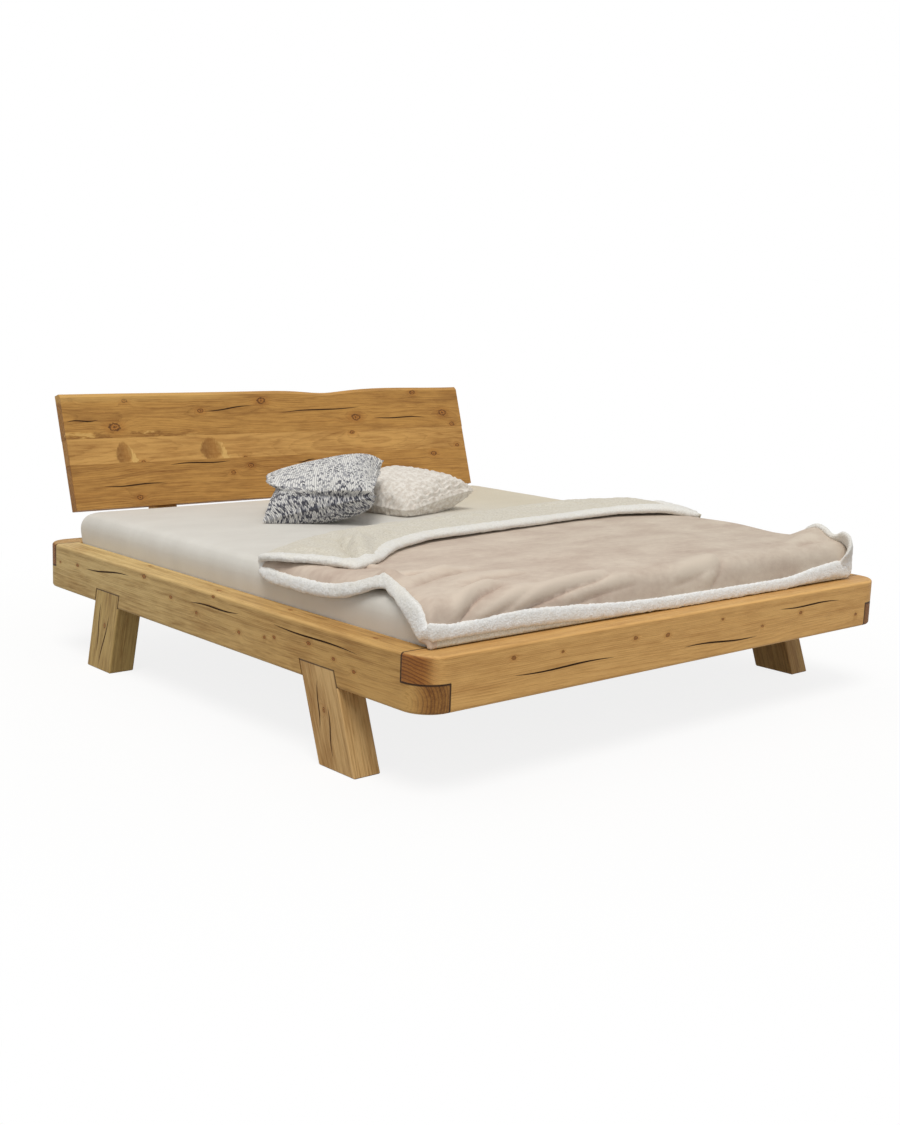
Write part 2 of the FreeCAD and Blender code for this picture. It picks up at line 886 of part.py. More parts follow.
def end_checks(end):
    """Drying checks in the outer face of the foot or head rail."""
    cutters = []
    for i, (x0, x1, z0, z1) in enumerate(end_check_shares):
        y = end * half_out_y
        start = Vec(-end * outer_width * (x0 - 0.5), y, rail_underside + rail_height * z0)
        finish = Vec(-end * outer_width * (x1 - 0.5), y, rail_underside + rail_height * z1)
        cutters.append(check_cutter(start, finish, rail_check_width, Vec(0, end, 0), (-1) ** i))
    return cutters


def leg_checks(side, end):
    """Two checks down the outer face of a leg."""
    cutters = []
    x = side * half_out_x
    inset, slant = leg_values(end)
    width = leg_stock_width / math.cos(slant)
    shares = foot_leg_check_shares if end < 0 else head_leg_check_shares
    for i, (low_across, low, high_across, high) in enumerate(shares):
        places = []
        for across, share in ((low_across, low), (high_across, high)):
            z = rail_underside * share
            y = end * (half_out_y - inset - width * across + (leg_top - z) * math.tan(slant))
            places.append(Vec(x, y, z))
        cutters.append(check_cutter(places[0], places[1], leg_check_width, Vec(side, 0, 0), (-1) ** i))
    return cutters


def headboard_checks():
    """Checks along the front of the boards, drawn flat and leaned with them."""
    half = headboard_width / 2
    cutters = []
    for i, (x0, x1, z0, z1) in enumerate(headboard_check_shares):
        start = Vec(-half + headboard_width * x0, 0, board_height * z0)
        finish = Vec(-half + headboard_width * x1, 0, board_height * z1)
        cutter = check_cutter(start, finish, headboard_check_width, Vec(0, -1, 0), (-1) ** i)
        cutters.append(lean_back(cutter))
    return cutters


def build_headboard():
    checks = headboard_checks()
    screws = board_screws()
    bores = board_screw_bores()
    boards = {
        "headboard_bottom_board": plain_board(0.0, bottom_board_height),
        "headboard_middle_board": plain_board(bottom_board_height, middle_board_height),
        "headboard_top_board": live_board(),
    }
    for name, board in boards.items():
        parts[name] = lean_back(board).cut(checks + screws)
    for name, side in (("left", -1), ("right", 1)):
        parts["headboard_post_" + name] = post(side).cut(screws + bores + [post_peg(side, fit_gap)])
    parts["headboard_screws"] = Part.makeCompound(screws)
    parts["post_pegs"] = Part.makeCompound([post_peg(side, 0.0) for side in (-1, 1)])


def build_slatted_base():
    ledger_fixings = []
    for name, side in (("left", -1), ("right", 1)):
        screws = ledger_screws(side)
        ledger_fixings += screws
        parts["ledger_" + name] = ledger(side).cut(screws)
        parts["slat_band_" + name] = slat_band(side)
    parts["ledger_screws"] = Part.makeCompound(ledger_fixings)
    for i in range(slat_count):
        parts["slat_%02d" % (i + 1)] = slat(i)


def build_centre():
    plate_fixings = leg_plate_screws()
    leg_fixing = centre_leg_screw()
    parts["centre_beam"] = centre_beam().cut(plate_fixings)
    parts["centre_leg"] = centre_leg().cut(leg_fixing)
    parts["centre_leg_plate"] = leg_plate().cut(plate_fixings + [leg_fixing])
    parts["centre_leg_screw"] = leg_fixing
    parts["leg_plate_screws"] = Part.makeCompound(plate_fixings)
    all_screws = []
    for name, end in (("foot", -1), ("head", 1)):
        screws = hanger_screws(end)
        all_screws += screws
        parts["beam_hanger_" + name] = beam_hanger(end).cut(screws)
    parts["hanger_screws"] = Part.makeCompound(all_screws)


# Mattress and fitted sheet


def soft_slab(trim, floor_drop):
    """The mattress's crowned form, trimmed all round, through rounded outlines."""
    outlines = []
    for inset_share, height_share in mattress_section_shares:
        inset = inset_share * mattress_edge_softness + trim
        z = mattress_base + (mattress_thickness - trim) * height_share
        if height_share == 0:
            z = z - floor_drop
        radius = mattress_corner_round + inset * inset_round_share
        outlines.append(rounded_plan(mattress_width / 2 - inset, mattress_length / 2 - inset, radius, z))
    return Part.makeLoft(outlines, True, True)


def build_mattress():
    parts["mattress"] = soft_slab(sheet_thickness, 0.0)
    parts["fitted_sheet"] = soft_slab(0.0, 0.0).cut(soft_slab(sheet_thickness, overrun))


# Throw


def throw_outline(x, foot, fold, free, rises, top, low):
    """The throw's closed outline at one place across the bed, from the foot's hem to the head fold."""
    t = throw_thickness
    back_rise, foot_rise, first_rise, second_rise = rises
    run = free - foot
    shoulder_in, shoulder_up, shoulder_part = throw_shoulder_shares
    first_place, second_place = throw_fold_place_shares
    edge_lean, back_height, back_part = throw_back_shares
    inside = min(low, top - t)
    nose_start = fold - t * throw_nose_share
    corners = [
        Vec(x, foot - t - throw_flare, low),
        Vec(x, foot - t - throw_flare / 2, (low + top) / 2),
        Vec(x, foot + t * shoulder_in, top + t * (shoulder_up + foot_rise * shoulder_part)),
        Vec(x, foot + t * throw_rise_place_share, top + t * (1 + foot_rise)),
        Vec(x, foot + run * first_place, top + t * (1 + first_rise)),
        Vec(x, foot + run * second_place, top + t * (1 + second_rise)),
        Vec(x, free, top + t),
        Vec(x, free + t * edge_lean, top + t * (2 + back_rise)),
        Vec(x, (free + fold) / 2, top + t * (back_height + back_rise * back_part)),
        Vec(x, nose_start, top + t * 2),
        Vec(x, nose_start, top),
        Vec(x, nose_start, inside),
        Vec(x, foot + t, inside),
    ]
    nose = Vec(x, fold, top + t)
    edges = []
    for i, corner in enumerate(corners):
        following = corners[(i + 1) % len(corners)]
        if corner.y == following.y == nose_start and following.z == top:
            edges.append(Part.Arc(corner, nose, following).toShape())
        else:
            edges.append(Part.LineSegment(corner, following).toShape())
    return Part.Wire(edges)


def plan_cutter(shares, z0, z1):
    """An upright prism over a polygon given as shares of half the mattress's width and length."""
    points = []
    for x, y in shares:
        points.append(Vec(x * mattress_width / 2, y * mattress_length / 2, z0))
    return outline_prism(points, Vec(0, 0, z1 - z0))


def throw_outlines():
    """All the throw's sections, from the lip past the left side to the hang down the right side."""
    half_x = mattress_width / 2
    half_y = mattress_length / 2
    outlines = []
    for x, shares in zip((-half_x - throw_lip, -half_x - rest_gap), throw_lip_shares):
        foot, fold, free, *rises, top_drop, hem_drop = shares
        top = mattress_top - throw_lip_drop * top_drop
        low = mattress_top - throw_lip_drop * hem_drop
        outlines.append(throw_outline(x, foot * half_y, fold * half_y, free * half_y, rises, top, low))
    hem = rail_top + throw_hem_gap
    for across, fold, free, *rises, drop in throw_section_shares:
        top = mattress_top - drop * throw_thickness
        outline = throw_outline(across * half_x, -half_y, fold * half_y, free * half_y, rises, top, hem)
        outlines.append(outline)
    across, fold, free, *rises, drop = throw_section_shares[-1]
    *kept, side_drop = throw_side_shares
    rises = [rise * share for rise, share in zip(rises, kept)]
    x = half_x + throw_thickness
    top = mattress_top - side_drop * throw_thickness
    low = mattress_top - throw_side_hang
    fold_end = fold * half_y - throw_thickness
    outlines.append(throw_outline(x, -half_y, fold_end, free * half_y, rises, top, low))
    return outlines


def build_throw():
    form = Part.makeLoft(throw_outlines(), True, True)
    level = mattress_top + throw_thickness
    notch = plan_cutter(throw_notch_shares, rail_top - overrun, level + 4 * throw_thickness)
    slit = plan_cutter(throw_slit_shares, level - throw_slit_height / 2, level + throw_slit_height / 2)
    form = form.cut([soft_slab(-rest_gap, overrun), notch, slit])
    parts["throw"] = max(form.Solids, key=lambda solid: solid.Volume)


# Cushions


def cushion_form(size, thickness):
    """A cushion lying flat about the origin."""
    under = [(-height, corner, side) for height, corner, side in cushion_level_shares[:0:-1]]
    outlines = []
    for height, corner, side in under + list(cushion_level_shares):
        z = height * thickness / 2
        c = corner * size / 2
        m = side * size / 2
        corners = [Vec(c, c, z), Vec(-c, c, z), Vec(-c, -c, z), Vec(c, -c, z)]
        middles = [Vec(0, m, z), Vec(-m, 0, z), Vec(0, -m, z), Vec(m, 0, z)]
        edges = []
        for i in range(4):
            edges.append(Part.Arc(corners[i], middles[i], corners[(i + 1) % 4]).toShape())
        outlines.append(Part.Wire(edges))
    return Part.makeLoft(outlines, True, True)


def placed_cushion(thickness, place_shares, height, turns, grow):
    """A cushion tilted about its own axes, turned on plan and carried to its place, grown all round."""
    form = cushion_form(cushion_size + 2 * grow, thickness + 2 * grow)
    for axis, turn in zip((Vec(1, 0, 0), Vec(0, 1, 0), UP), turns):
        form.rotate(Vec(0, 0, 0), axis, turn)
    across, along = place_shares
    form.translate(Vec(across * mattress_width / 2, along * mattress_length / 2, mattress_top + height))
    return form


def white_cushion(grow):
    return placed_cushion(
        white_cushion_thickness,
        white_cushion_place_shares,
        white_cushion_height,
        white_cushion_turns,
        grow,
    )


def grey_cushion():
    return placed_cushion(
        grey_cushion_thickness,
        grey_cushion_place_shares,
        grey_cushion_height,
        grey_cushion_turns,
        0.0,
    )


def build_cushions():
    bed_top = soft_slab(-rest_gap, overrun)
    white = white_cushion(0.0).cut(bed_top)
    grey = grey_cushion().cut([bed_top, white_cushion(cushion_gap)])
    parts["white_cushion"] = max(white.Solids, key=lambda solid: solid.Volume)
    parts["grey_cushion"] = max(grey.Solids, key=lambda solid: solid.Volume)


build_frame()
build_headboard()
build_slatted_base()
build_centre()
build_mattress()
build_throw()
build_cushions()

# The origin is moved to the floor under the centre of the whole bed's box
whole_box = Part.makeCompound(list(parts.values())).optimalBoundingBox(False, False)
shift = Vec(-whole_box.Center.x, -whole_box.Center.y, 0)

os.makedirs("parts", exist_ok=True)
for name, shape in parts.items():
    shape.translate(shift)
    shape.exportStep("parts/" + name + ".step")
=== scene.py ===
import math
import random

import bpy
import numpy as np
from mathutils import Matrix, Vector, noise
from mathutils.bvhtree import BVHTree


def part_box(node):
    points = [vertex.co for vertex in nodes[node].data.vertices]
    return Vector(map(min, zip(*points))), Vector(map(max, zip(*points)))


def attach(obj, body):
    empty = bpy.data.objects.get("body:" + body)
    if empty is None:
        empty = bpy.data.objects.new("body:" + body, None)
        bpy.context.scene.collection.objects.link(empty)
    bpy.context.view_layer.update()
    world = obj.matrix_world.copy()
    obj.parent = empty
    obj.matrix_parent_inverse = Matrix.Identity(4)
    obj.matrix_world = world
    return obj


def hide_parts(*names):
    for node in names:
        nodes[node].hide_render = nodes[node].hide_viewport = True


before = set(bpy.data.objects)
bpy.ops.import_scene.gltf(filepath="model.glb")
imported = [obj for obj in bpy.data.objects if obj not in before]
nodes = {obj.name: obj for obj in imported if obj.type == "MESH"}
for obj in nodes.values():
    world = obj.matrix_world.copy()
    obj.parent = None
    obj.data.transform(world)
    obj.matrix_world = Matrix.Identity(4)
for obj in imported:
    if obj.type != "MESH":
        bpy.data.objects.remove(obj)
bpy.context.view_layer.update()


# Camera
# The bed is seen from its foot-left corner, a little above the headboard, with a slight roll.

camera_place = Vector((-3.48918, -3.90102, 1.31433))
turn = math.radians(42.021)
down = math.radians(10.035)
roll = math.radians(2.114)
ahead = Vector((math.sin(turn) * math.cos(down), math.cos(turn) * math.cos(down), -math.sin(down)))
level = Vector((math.cos(turn), -math.sin(turn), 0))
upright = level.cross(ahead)
camera_right = level * math.cos(roll) + upright * math.sin(roll)
camera_up = upright * math.cos(roll) - level * math.sin(roll)
stand = Matrix((camera_right, camera_up, -ahead)).transposed().to_4x4()
stand.translation = camera_place
camera = bpy.data.objects.new("camera", bpy.data.cameras.new("camera"))
camera.data.sensor_width = 36
camera.data.lens = 45.405
camera.data.clip_end = 200
camera.matrix_world = stand
bpy.context.scene.collection.objects.link(camera)
bpy.context.scene.camera = camera


# Room
# A plain white floor under an even pale sky, with one wide soft lamp high over the head-left side.


def paint(red, green, blue):
    """A colour as a shader takes it, from its plain 0 to 255 values."""
    linear = []
    for part in (red, green, blue):
        part /= 255
        linear.append(part / 12.92 if part <= 0.04045 else ((part + 0.055) / 1.055) ** 2.4)
    return (*linear, 1)


class Strand:
    """One socket of a finish, which takes part in sums as a number does: each sum adds its node."""

    def __init__(self, finish, socket):
        self.finish = finish
        self.socket = socket

    def sum(self, operation, *others):
        kind = "ShaderNodeVectorMath" if self.socket.type == "VECTOR" else "ShaderNodeMath"
        return self.finish.node(kind, {"operation": operation}, (self, *others))

    def held(self):
        """The value kept between 0 and 1."""
        return self.sum("MAXIMUM", 0.0).sum("MINIMUM", 1.0)

    def turned(self, operation, first):
        kind = "ShaderNodeVectorMath" if self.socket.type == "VECTOR" else "ShaderNodeMath"
        return self.finish.node(kind, {"operation": operation}, (first, self))

    def __add__(self, other):
        return self.sum("ADD", other)

    def __radd__(self, other):
        return self.sum("ADD", other)

    def __sub__(self, other):
        return self.sum("SUBTRACT", other)

    def __rsub__(self, other):
        return self.turned("SUBTRACT", other)

    def __mul__(self, other):
        return self.sum("MULTIPLY", other)

    def __rmul__(self, other):
        return self.sum("MULTIPLY", other)

    def __truediv__(self, other):
        return self.sum("DIVIDE", other)

    def __rtruediv__(self, other):
        return self.turned("DIVIDE", other)

    def __pow__(self, other):
        return self.sum("POWER", other)

    def __mod__(self, other):
        return self.sum("FLOORED_MODULO", other)

    def __abs__(self):
        return self.sum("ABSOLUTE")


class Finish:
    """A finish: a material or another owner of nodes, its shader, and the nodes that feed it."""

    def __init__(self, name, owner=None, **fixed):
        self.material = owner or bpy.data.materials.new(name)
        self.material.use_nodes = True
        self.tree = self.material.node_tree
        self.shader = self.tree.nodes.get("Principled BSDF")
        for socket, value in fixed.items():
            self.shader.inputs[socket.replace("_", " ")].default_value = value

    def node(self, kind, settings=None, values=(), out=0):
        """Adds a node, sets it, fills its sockets with values or strands, and gives one of its outputs."""
        node = self.tree.nodes.new(kind)
        for name, setting in (settings or {}).items():
            setattr(node, name, setting)
        for key, value in values.items() if isinstance(values, dict) else enumerate(values):
            if isinstance(value, Strand):
                self.tree.links.new(value.socket, node.inputs[key])
            elif value is not None:
                node.inputs[key].default_value = value
        return Strand(self, node.outputs[out])

    def feed(self, socket, strand):
        """Lets a strand drive one of the shader's sockets."""
        self.tree.links.new(strand.socket, self.shader.inputs[socket])

    def place(self):
        """Where a point of the surface is, in metres."""
        return self.node("ShaderNodeTexCoord", out="Object")

    def facing(self):
        """Which way the surface faces."""
        return self.node("ShaderNodeTexCoord", out="Normal")

    def measure(self, operation, *vectors):
        """A plain number from vectors: a length, a distance or a dot product."""
        return self.node("ShaderNodeVectorMath", {"operation": operation}, vectors, out="Value")

    def along(self, vector, way):
        """How far a vector reaches along a way."""
        return self.measure("DOT_PRODUCT", vector, way)

    def join(self, x, y, z):
        return self.node("ShaderNodeCombineXYZ", values=(x, y, z))

    def parts(self, vector):
        split = self.node("ShaderNodeSeparateXYZ", values=(vector,)).socket.node
        return [Strand(self, output) for output in split.outputs]

    def cloud(self, vector, scale=1.0, detail=2.0, rough=0.5, out=0):
        """Smooth chance values about one half."""
        values = {"Vector": vector, "Scale": scale, "Detail": detail, "Roughness": rough}
        return self.node("ShaderNodeTexNoise", values=values, out=out)

    def rise(self, value, low, high):
        """Climbs softly from 0 to 1 as the value goes from low to high."""
        settings = {"interpolation_type": "SMOOTHSTEP"}
        return self.node("ShaderNodeMapRange", settings, (value, low, high, 0.0, 1.0))

    def mix(self, share, first, second, way="MIX"):
        """The second colour over the first by a share."""
        settings = {"data_type": "RGBA", "blend_type": way}
        return self.node("ShaderNodeMix", settings, {0: share, 6: first, 7: second}, out=2)

    def relief(self, height, depth, strength=1.0):
        """Feeds the height as small relief, with its depth in metres."""
        values = {"Strength": strength, "Distance": depth, "Height": height}
        self.feed("Normal", self.node("ShaderNodeBump", values=values))

    def show(self, shader, output="Material Output"):
        """Puts a shader of this finish in place of its own."""
        self.tree.links.new(shader.socket, self.tree.nodes[output].inputs["Surface"])

    def seen_directly(self):
        """One for the camera's, mirrored and see-through rays, nothing for light on its way."""
        rays = self.node("ShaderNodeLightPath").socket.node
        seen = Strand(self, rays.outputs["Is Camera Ray"])
        for kind in ("Is Glossy Ray", "Is Transmission Ray"):
            seen = seen.sum("MAXIMUM", Strand(self, rays.outputs[kind]))
        return seen


def dress(piece, *finishes):
    """Gives a piece its finishes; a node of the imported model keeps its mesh."""
    if piece.material_slots:
        for place in piece.material_slots:
            place.material = finishes[0].material
        return
    for finish in finishes:
        piece.data.materials.append(finish.material)


def new_piece(name, points, faces, smooth=True):
    """A piece of the bed from its points and faces."""
    mesh = bpy.data.meshes.new(name)
    mesh.from_pydata([tuple(point) for point in points], [], [tuple(face) for face in faces])
    mesh.validate()
    mesh.polygons.foreach_set("use_smooth", [smooth] * len(mesh.polygons))
    piece = bpy.data.objects.new(name, mesh)
    bpy.context.scene.collection.objects.link(piece)
    return piece


sky = Finish("sky", bpy.data.worlds.new("sky"))
bpy.context.scene.world = sky.material
sky.tree.nodes.remove(sky.tree.nodes["Background"])
sky_light = 0.49
seen = sky.seen_directly()
even = sky.node("ShaderNodeBackground", values=((1, 0.995, 0.98, 1), sky_light))
white = sky.node("ShaderNodeBackground", values=((1, 1, 1, 1), 1.0))
shown = sky.node("ShaderNodeMixShader", values=(seen, even, white))
sky.show(shown, "World Output")

lamp_from = Vector((-0.33, -0.28, 0.90)).normalized()
lamp = bpy.data.objects.new("wide_lamp", bpy.data.lights.new("wide_lamp", "SUN"))
lamp.data.energy = 1.74
lamp.data.angle = math.radians(28)
lamp.data.color = (1, 0.985, 0.955)
lamp.rotation_euler = lamp_from.to_track_quat("Z", "Y").to_euler()
bpy.context.scene.collection.objects.link(lamp)

floor_steps = [-60.0, -12.0, -4.0, 0.0, 4.0, 12.0, 60.0]
floor_points = [(x, y, 0.0) for y in floor_steps for x in floor_steps]
floor_faces = []
row = len(floor_steps)
for j in range(row - 1):
    for i in range(row - 1):
        floor_faces.append((j * row + i, j * row + i + 1, (j + 1) * row + i + 1, (j + 1) * row + i))
floor = new_piece("floor", floor_points, floor_faces, smooth=False)
floor_finish = Finish("pale_floor", Roughness=0.9, Specular_IOR_Level=0.1)
seen = floor_finish.seen_directly()
far = floor_finish.measure("LENGTH", floor_finish.place())
clear = floor_finish.rise(far, 1.5, 3.0) * 0.16 + 0.84
floor_finish.feed("Base Color", floor_finish.mix(seen, (0.36, 0.35, 0.34, 1), (0.97, 0.97, 0.97, 1)))
glow = floor_finish.node("ShaderNodeEmission", values=((1, 1, 1, 1), 1.0))
shader_out = Strand(floor_finish, floor_finish.shader.outputs[0])
floor_finish.show(floor_finish.node("ShaderNodeMixShader", values=(seen * clear, shader_out, glow)))
dress(floor, floor_finish)


# Rails
# Four solid spruce beams, planed and oiled, lapped at half height at the corners and rounded there.
# Each was sawn near the heart, so its rings run in long flames along the faces and stand up on its ends.

rail_bottom = 0.246
rail_height = 0.164
lap_level = 0.3285
bed_half = 1.101
inside_half = 1.005
frame_length = 2 * bed_half
frame_middle = -0.0641445
head_face = 1.0369
foot_face = -1.1651


def spruce(
    name, grain, flat, heart, pale, late, knots=(), ring=0.0042,
    seed=0.0, flame=0.05, rough=1.0, cut_share=1.0,
):
    """Oiled spruce sawn with its grain along one way: growth rings round the heart line, fibres, knots,
    darker end grain, and paler rounded edges where the surface faces none of the beam's own ways,
    partly wear and partly a painted highlight."""
    wood = Finish(name, Specular_IOR_Level=0.35)
    grain = Vector(grain).normalized()
    flat = Vector(flat).normalized()
    third = grain.cross(flat)
    heart = Vector(heart)
    from_heart = wood.place() - heart
    run = wood.along(from_heart, grain)
    side = wood.along(from_heart, flat)
    rise = wood.along(from_heart, third)
    spot = wood.join(run, side, rise)
    seeds = (seed * 3.7, seed * 1.9, seed * 2.3)

    nearest = None
    drawn = spot * (0.62, 1.0, 1.0)
    for x, y, z, radius in knots:
        knot = Vector((x, y, z)) - heart
        middle = (knot.dot(grain) * 0.62, knot.dot(flat), knot.dot(third))
        reach = wood.measure("DISTANCE", drawn, middle) / radius
        nearest = reach if nearest is None else nearest.sum("MINIMUM", reach)
    if nearest is not None:
        nearest = nearest + (wood.cloud(spot * (130, 170, 170), detail=2) - 0.5) * 1.1

    wander = wood.parts(wood.cloud(spot * (0.8, 2.6, 2.6) + seeds, detail=2, out="Color"))
    side_off = side + (wander[0] - 0.5) * flame
    rise_off = rise + (wander[1] - 0.5) * flame
    radial = wood.measure("LENGTH", wood.join(0.0, side_off, rise_off))
    if nearest is not None:
        radial = radial - (1 - nearest / 6).sum("MAXIMUM", 0.0) ** 2 * 0.014
    fibre = wood.cloud(spot * (9, 330, 330) + seeds, detail=3, rough=0.6)
    streak = wood.cloud(spot * (6.5, 105, 105) + seeds, detail=3, rough=0.6)
    years = wood.cloud(wood.join(radial * 62, run * 0.35, seed), detail=2.5, rough=0.6)
    blotch = wood.cloud(spot * (3.2, 13, 13) + seeds, detail=4, rough=0.6)
    phase = (radial / ring + streak * 0.8) % 1.0
    late_wood = phase ** 3 * (1 - wood.rise(phase, 0.93, 1.0))
    vein = wood.cloud(spot * (5, 190, 190) + seeds, detail=2)

    figure = wood.cloud(spot * (15, 64, 64) + seeds, detail=4, rough=0.65)
    tone = wood.rise(years, 0.34, 0.68) * 0.46 + late_wood * 0.38
    tone = tone + (streak - 0.5) * 1.9 * rough + (fibre - 0.5) * 1.1
    tone = tone + (blotch - 0.5) * 1.2 * rough + (figure - 0.5) * 0.9
    colour = wood.mix(tone.held(), paint(*pale), paint(*late))
    colour = wood.mix(wood.rise(blotch, 0.50, 0.68) * 0.45 * rough, colour, (0.80, 0.68, 0.52, 1), "MULTIPLY")
    colour = wood.mix(wood.rise(vein, 0.54, 0.70) * 0.40 * rough, colour, (0.74, 0.60, 0.44, 1), "MULTIPLY")

    normal = wood.facing()
    toward_end = abs(wood.along(normal, grain))
    end_grain = wood.rise(toward_end, 0.22, 0.80)
    wide_phase = (radial / (ring * 2.2) + (blotch - 0.5) * 1.2) % 1.0
    wide_late = wood.rise(wide_phase, 0.45, 0.85) * (1 - wood.rise(wide_phase, 0.90, 1.0))
    cut = wood.mix(wide_late, (0.58, 0.43, 0.28, 1), (0.30, 0.195, 0.115, 1))
    colour = wood.mix(end_grain * cut_share, colour, wood.mix(1.0, colour, cut, "MULTIPLY"))
    if nearest is not None:
        whorl = (nearest * 4.0 + (streak - 0.5) * 2) % 1.0
        core = wood.mix(whorl, paint(190, 128, 56), paint(152, 96, 36))
        core = wood.mix(wood.rise(nearest, 0.62, 0.88), core, paint(84, 48, 14))
        core = wood.mix(1 - wood.rise(nearest, 0.14, 0.34), core, paint(78, 44, 14))
        halo = 1 - wood.rise(nearest, 1.0, 3.2)
        colour = wood.mix(halo * 0.50, colour, (0.76, 0.58, 0.36, 1), "MULTIPLY")
        colour = wood.mix((1 - wood.rise(nearest, 0.95, 1.25)) * 0.92, colour, core)
    squarest = toward_end.sum("MAXIMUM", abs(wood.along(normal, flat)))
    squarest = squarest.sum("MAXIMUM", abs(wood.along(normal, third)))
    # paler rounded edges: a painted highlight where the round-overs catch the light, mixed with wear
    lit_and_worn_edges = (1 - wood.rise(squarest, 0.86, 0.985)) * wood.rise(fibre, 0.3, 0.6)
    colour = wood.mix(lit_and_worn_edges * 0.30 * (1 - end_grain), colour, paint(*[min(255, part + 22) for part in pale]))
    wood.colour = colour
    wood.spot = spot
    wood.run = run
    wood.feed("Base Color", colour)
    wood.feed("Roughness", 0.50 + fibre * 0.22)
    wood.relief(late_wood * 0.45 + fibre * 0.75 + streak * 0.6, 0.0012, 0.6)
    return wood


def split_lines(splits, place):
    """Drying splits as their two ends and the way they wave, from shares along and up a face."""
    lines = []
    for k, (first, last, low, high) in enumerate(splits):
        lines.append((place(first, low), place(last, high), (-1) ** k))
    return lines


def split_marks(wood, lines, outward, width):
    """The drying splits' colour: painted shade inside them, with a thin dark stain along both lips."""
    outward = Vector(outward)
    for start, finish, wave in lines:
        start = Vector(start)
        run = Vector(finish) - start
        way = run.normalized()
        side = run.cross(outward).normalized()
        from_start = wood.place() - start
        share = (wood.along(from_start, way) / run.length).held()
        opening = (share * math.pi).sum("SINE").sum("MAXIMUM", 0.0) ** 0.7 * (width / 2 + 0.0016) + 0.00002
        drift = (share * (2 * math.pi)).sum("SINE") * (0.003 * wave)
        off = abs(wood.along(from_start, side) - drift) / opening
        near_face = wood.rise(wood.along(from_start, outward), -0.020, -0.015)
        # painted shade inside each split, fading out into a thin stain along its lips
        dark = (1 - wood.rise(off, 0.60, 1.15)) * near_face * 0.92
        wood.colour = wood.mix(dark, wood.colour, paint(82, 50, 14))
    wood.feed("Base Color", wood.colour)


def thin_line(wood, value, at, half_width=0.0042):
    """One along a plane where the value comes to a number, and nothing a little off it."""
    return 1 - wood.rise(abs(value - at), half_width * 0.45, half_width)


def corner_marks(wood, lies_along):
    """The dark open joint lines round the half laps, on the faces where they run."""
    x, y, z = wood.parts(wood.place())
    across = abs(x)
    from_middle = abs(y - frame_middle)
    past_x = wood.rise(across, inside_half - 0.0025, inside_half - 0.0005)
    past_y = wood.rise(from_middle, inside_half - 0.0025, inside_half - 0.0005)
    lap = thin_line(wood, z, lap_level + 0.0002) * past_x * past_y
    shoulder = thin_line(wood, from_middle, inside_half)
    end_line = thin_line(wood, across, inside_half)
    if lies_along == "y":
        end_line = end_line * past_y
    else:
        shoulder = shoulder * past_x
    shoulder = shoulder * wood.rise(z, lap_level - 0.002, lap_level)
    end_line = end_line * (1 - wood.rise(z, lap_level, lap_level + 0.002))
    dark = lap.sum("MAXIMUM", shoulder).sum("MAXIMUM", end_line) * 0.92
    wood.colour = wood.mix(dark, wood.colour, paint(58, 34, 12))
    wood.feed("Base Color", wood.colour)


def side_spot(share, height):
    """A place on the left rail's outer face: its share of the length from the head, and of the height."""
    return (-bed_half, head_face - share * frame_length, rail_bottom + height * rail_height)


def foot_spot(share, height):
    """A place on the foot rail's outer face: its share of the length from the left, and of the height."""
    return (-bed_half + share * frame_length, foot_face, rail_bottom + height * rail_height)


side_knots = []
knot_unit = 0.00074
for share, height, size in (
    (0.121, 0.67, 8), (0.338, 0.90, 9), (0.417, 0.65, 7), (0.534, 0.93, 6), (0.489, 0.51, 6),
    (0.601, 0.41, 7), (0.664, 0.48, 5), (0.687, 0.54, 6), (0.766, 0.64, 8), (0.821, 0.51, 6),
    (0.864, 0.40, 6), (0.06, 0.62, 5),
):
    side_knots.append((*side_spot(share, height), size * knot_unit))
for share, x in ((0.30, -1.03), (0.52, -1.06), (0.685, -1.04), (0.88, -1.055)):
    side_knots.append((x, side_spot(share, 1)[1], rail_bottom + rail_height, 0.005))
foot_knots = []
for share, height, size in (
    (0.150, 0.75, 7), (0.240, 0.70, 5), (0.384, 0.70, 7), (0.453, 0.64, 8), (0.577, 0.75, 5),
    (0.676, 0.45, 5), (0.774, 0.58, 7), (0.93, 0.30, 6),
):
    foot_knots.append((*foot_spot(share, height), size * knot_unit))
chance = random.Random(4)
back_knots = []
for k in range(7):
    x = chance.uniform(-1.0, 1.0)
    z = rail_bottom + chance.uniform(0.2, 0.9) * rail_height
    back_knots.append((x, head_face, z, chance.uniform(0.006, 0.012)))
right_knots = []
for k in range(9):
    y = chance.uniform(-1.05, 0.95)
    z = rail_bottom + chance.uniform(0.2, 0.9) * rail_height
    right_knots.append((bed_half, y, z, chance.uniform(0.005, 0.011)))

left_wood = spruce(
    "left_rail_spruce", (0, 1, 0), (1, 0, 0), (-1.16, 0, 0.27), (212, 183, 124), (156, 123, 70), side_knots,
    seed=1.0, rough=0.85, cut_share=0.88
)
right_wood = spruce(
    "right_rail_spruce", (0, 1, 0), (1, 0, 0), (1.17, 0, 0.30), (206, 174, 110), (150, 114, 58), right_knots,
    seed=2.0
)
foot_wood = spruce(
    "foot_rail_spruce", (1, 0, 0), (0, 1, 0), (0, -1.085, 0.250), (234, 184, 112), (192, 140, 76), foot_knots,
    seed=3.0, rough=0.42
)
head_wood = spruce(
    "head_rail_spruce", (1, 0, 0), (0, 1, 0), (0, 0.90, 0.24), (212, 168, 100), (164, 120, 60), back_knots,
    seed=4.0
)
side_splits = ((0.150, 0.290, 0.66, 0.81), (0.472, 0.600, 0.68, 0.76), (0.683, 0.871, 0.78, 0.72))
foot_splits = ((0.152, 0.342, 0.43, 0.41), (0.491, 0.664, 0.33, 0.26), (0.719, 0.879, 0.73, 0.69))

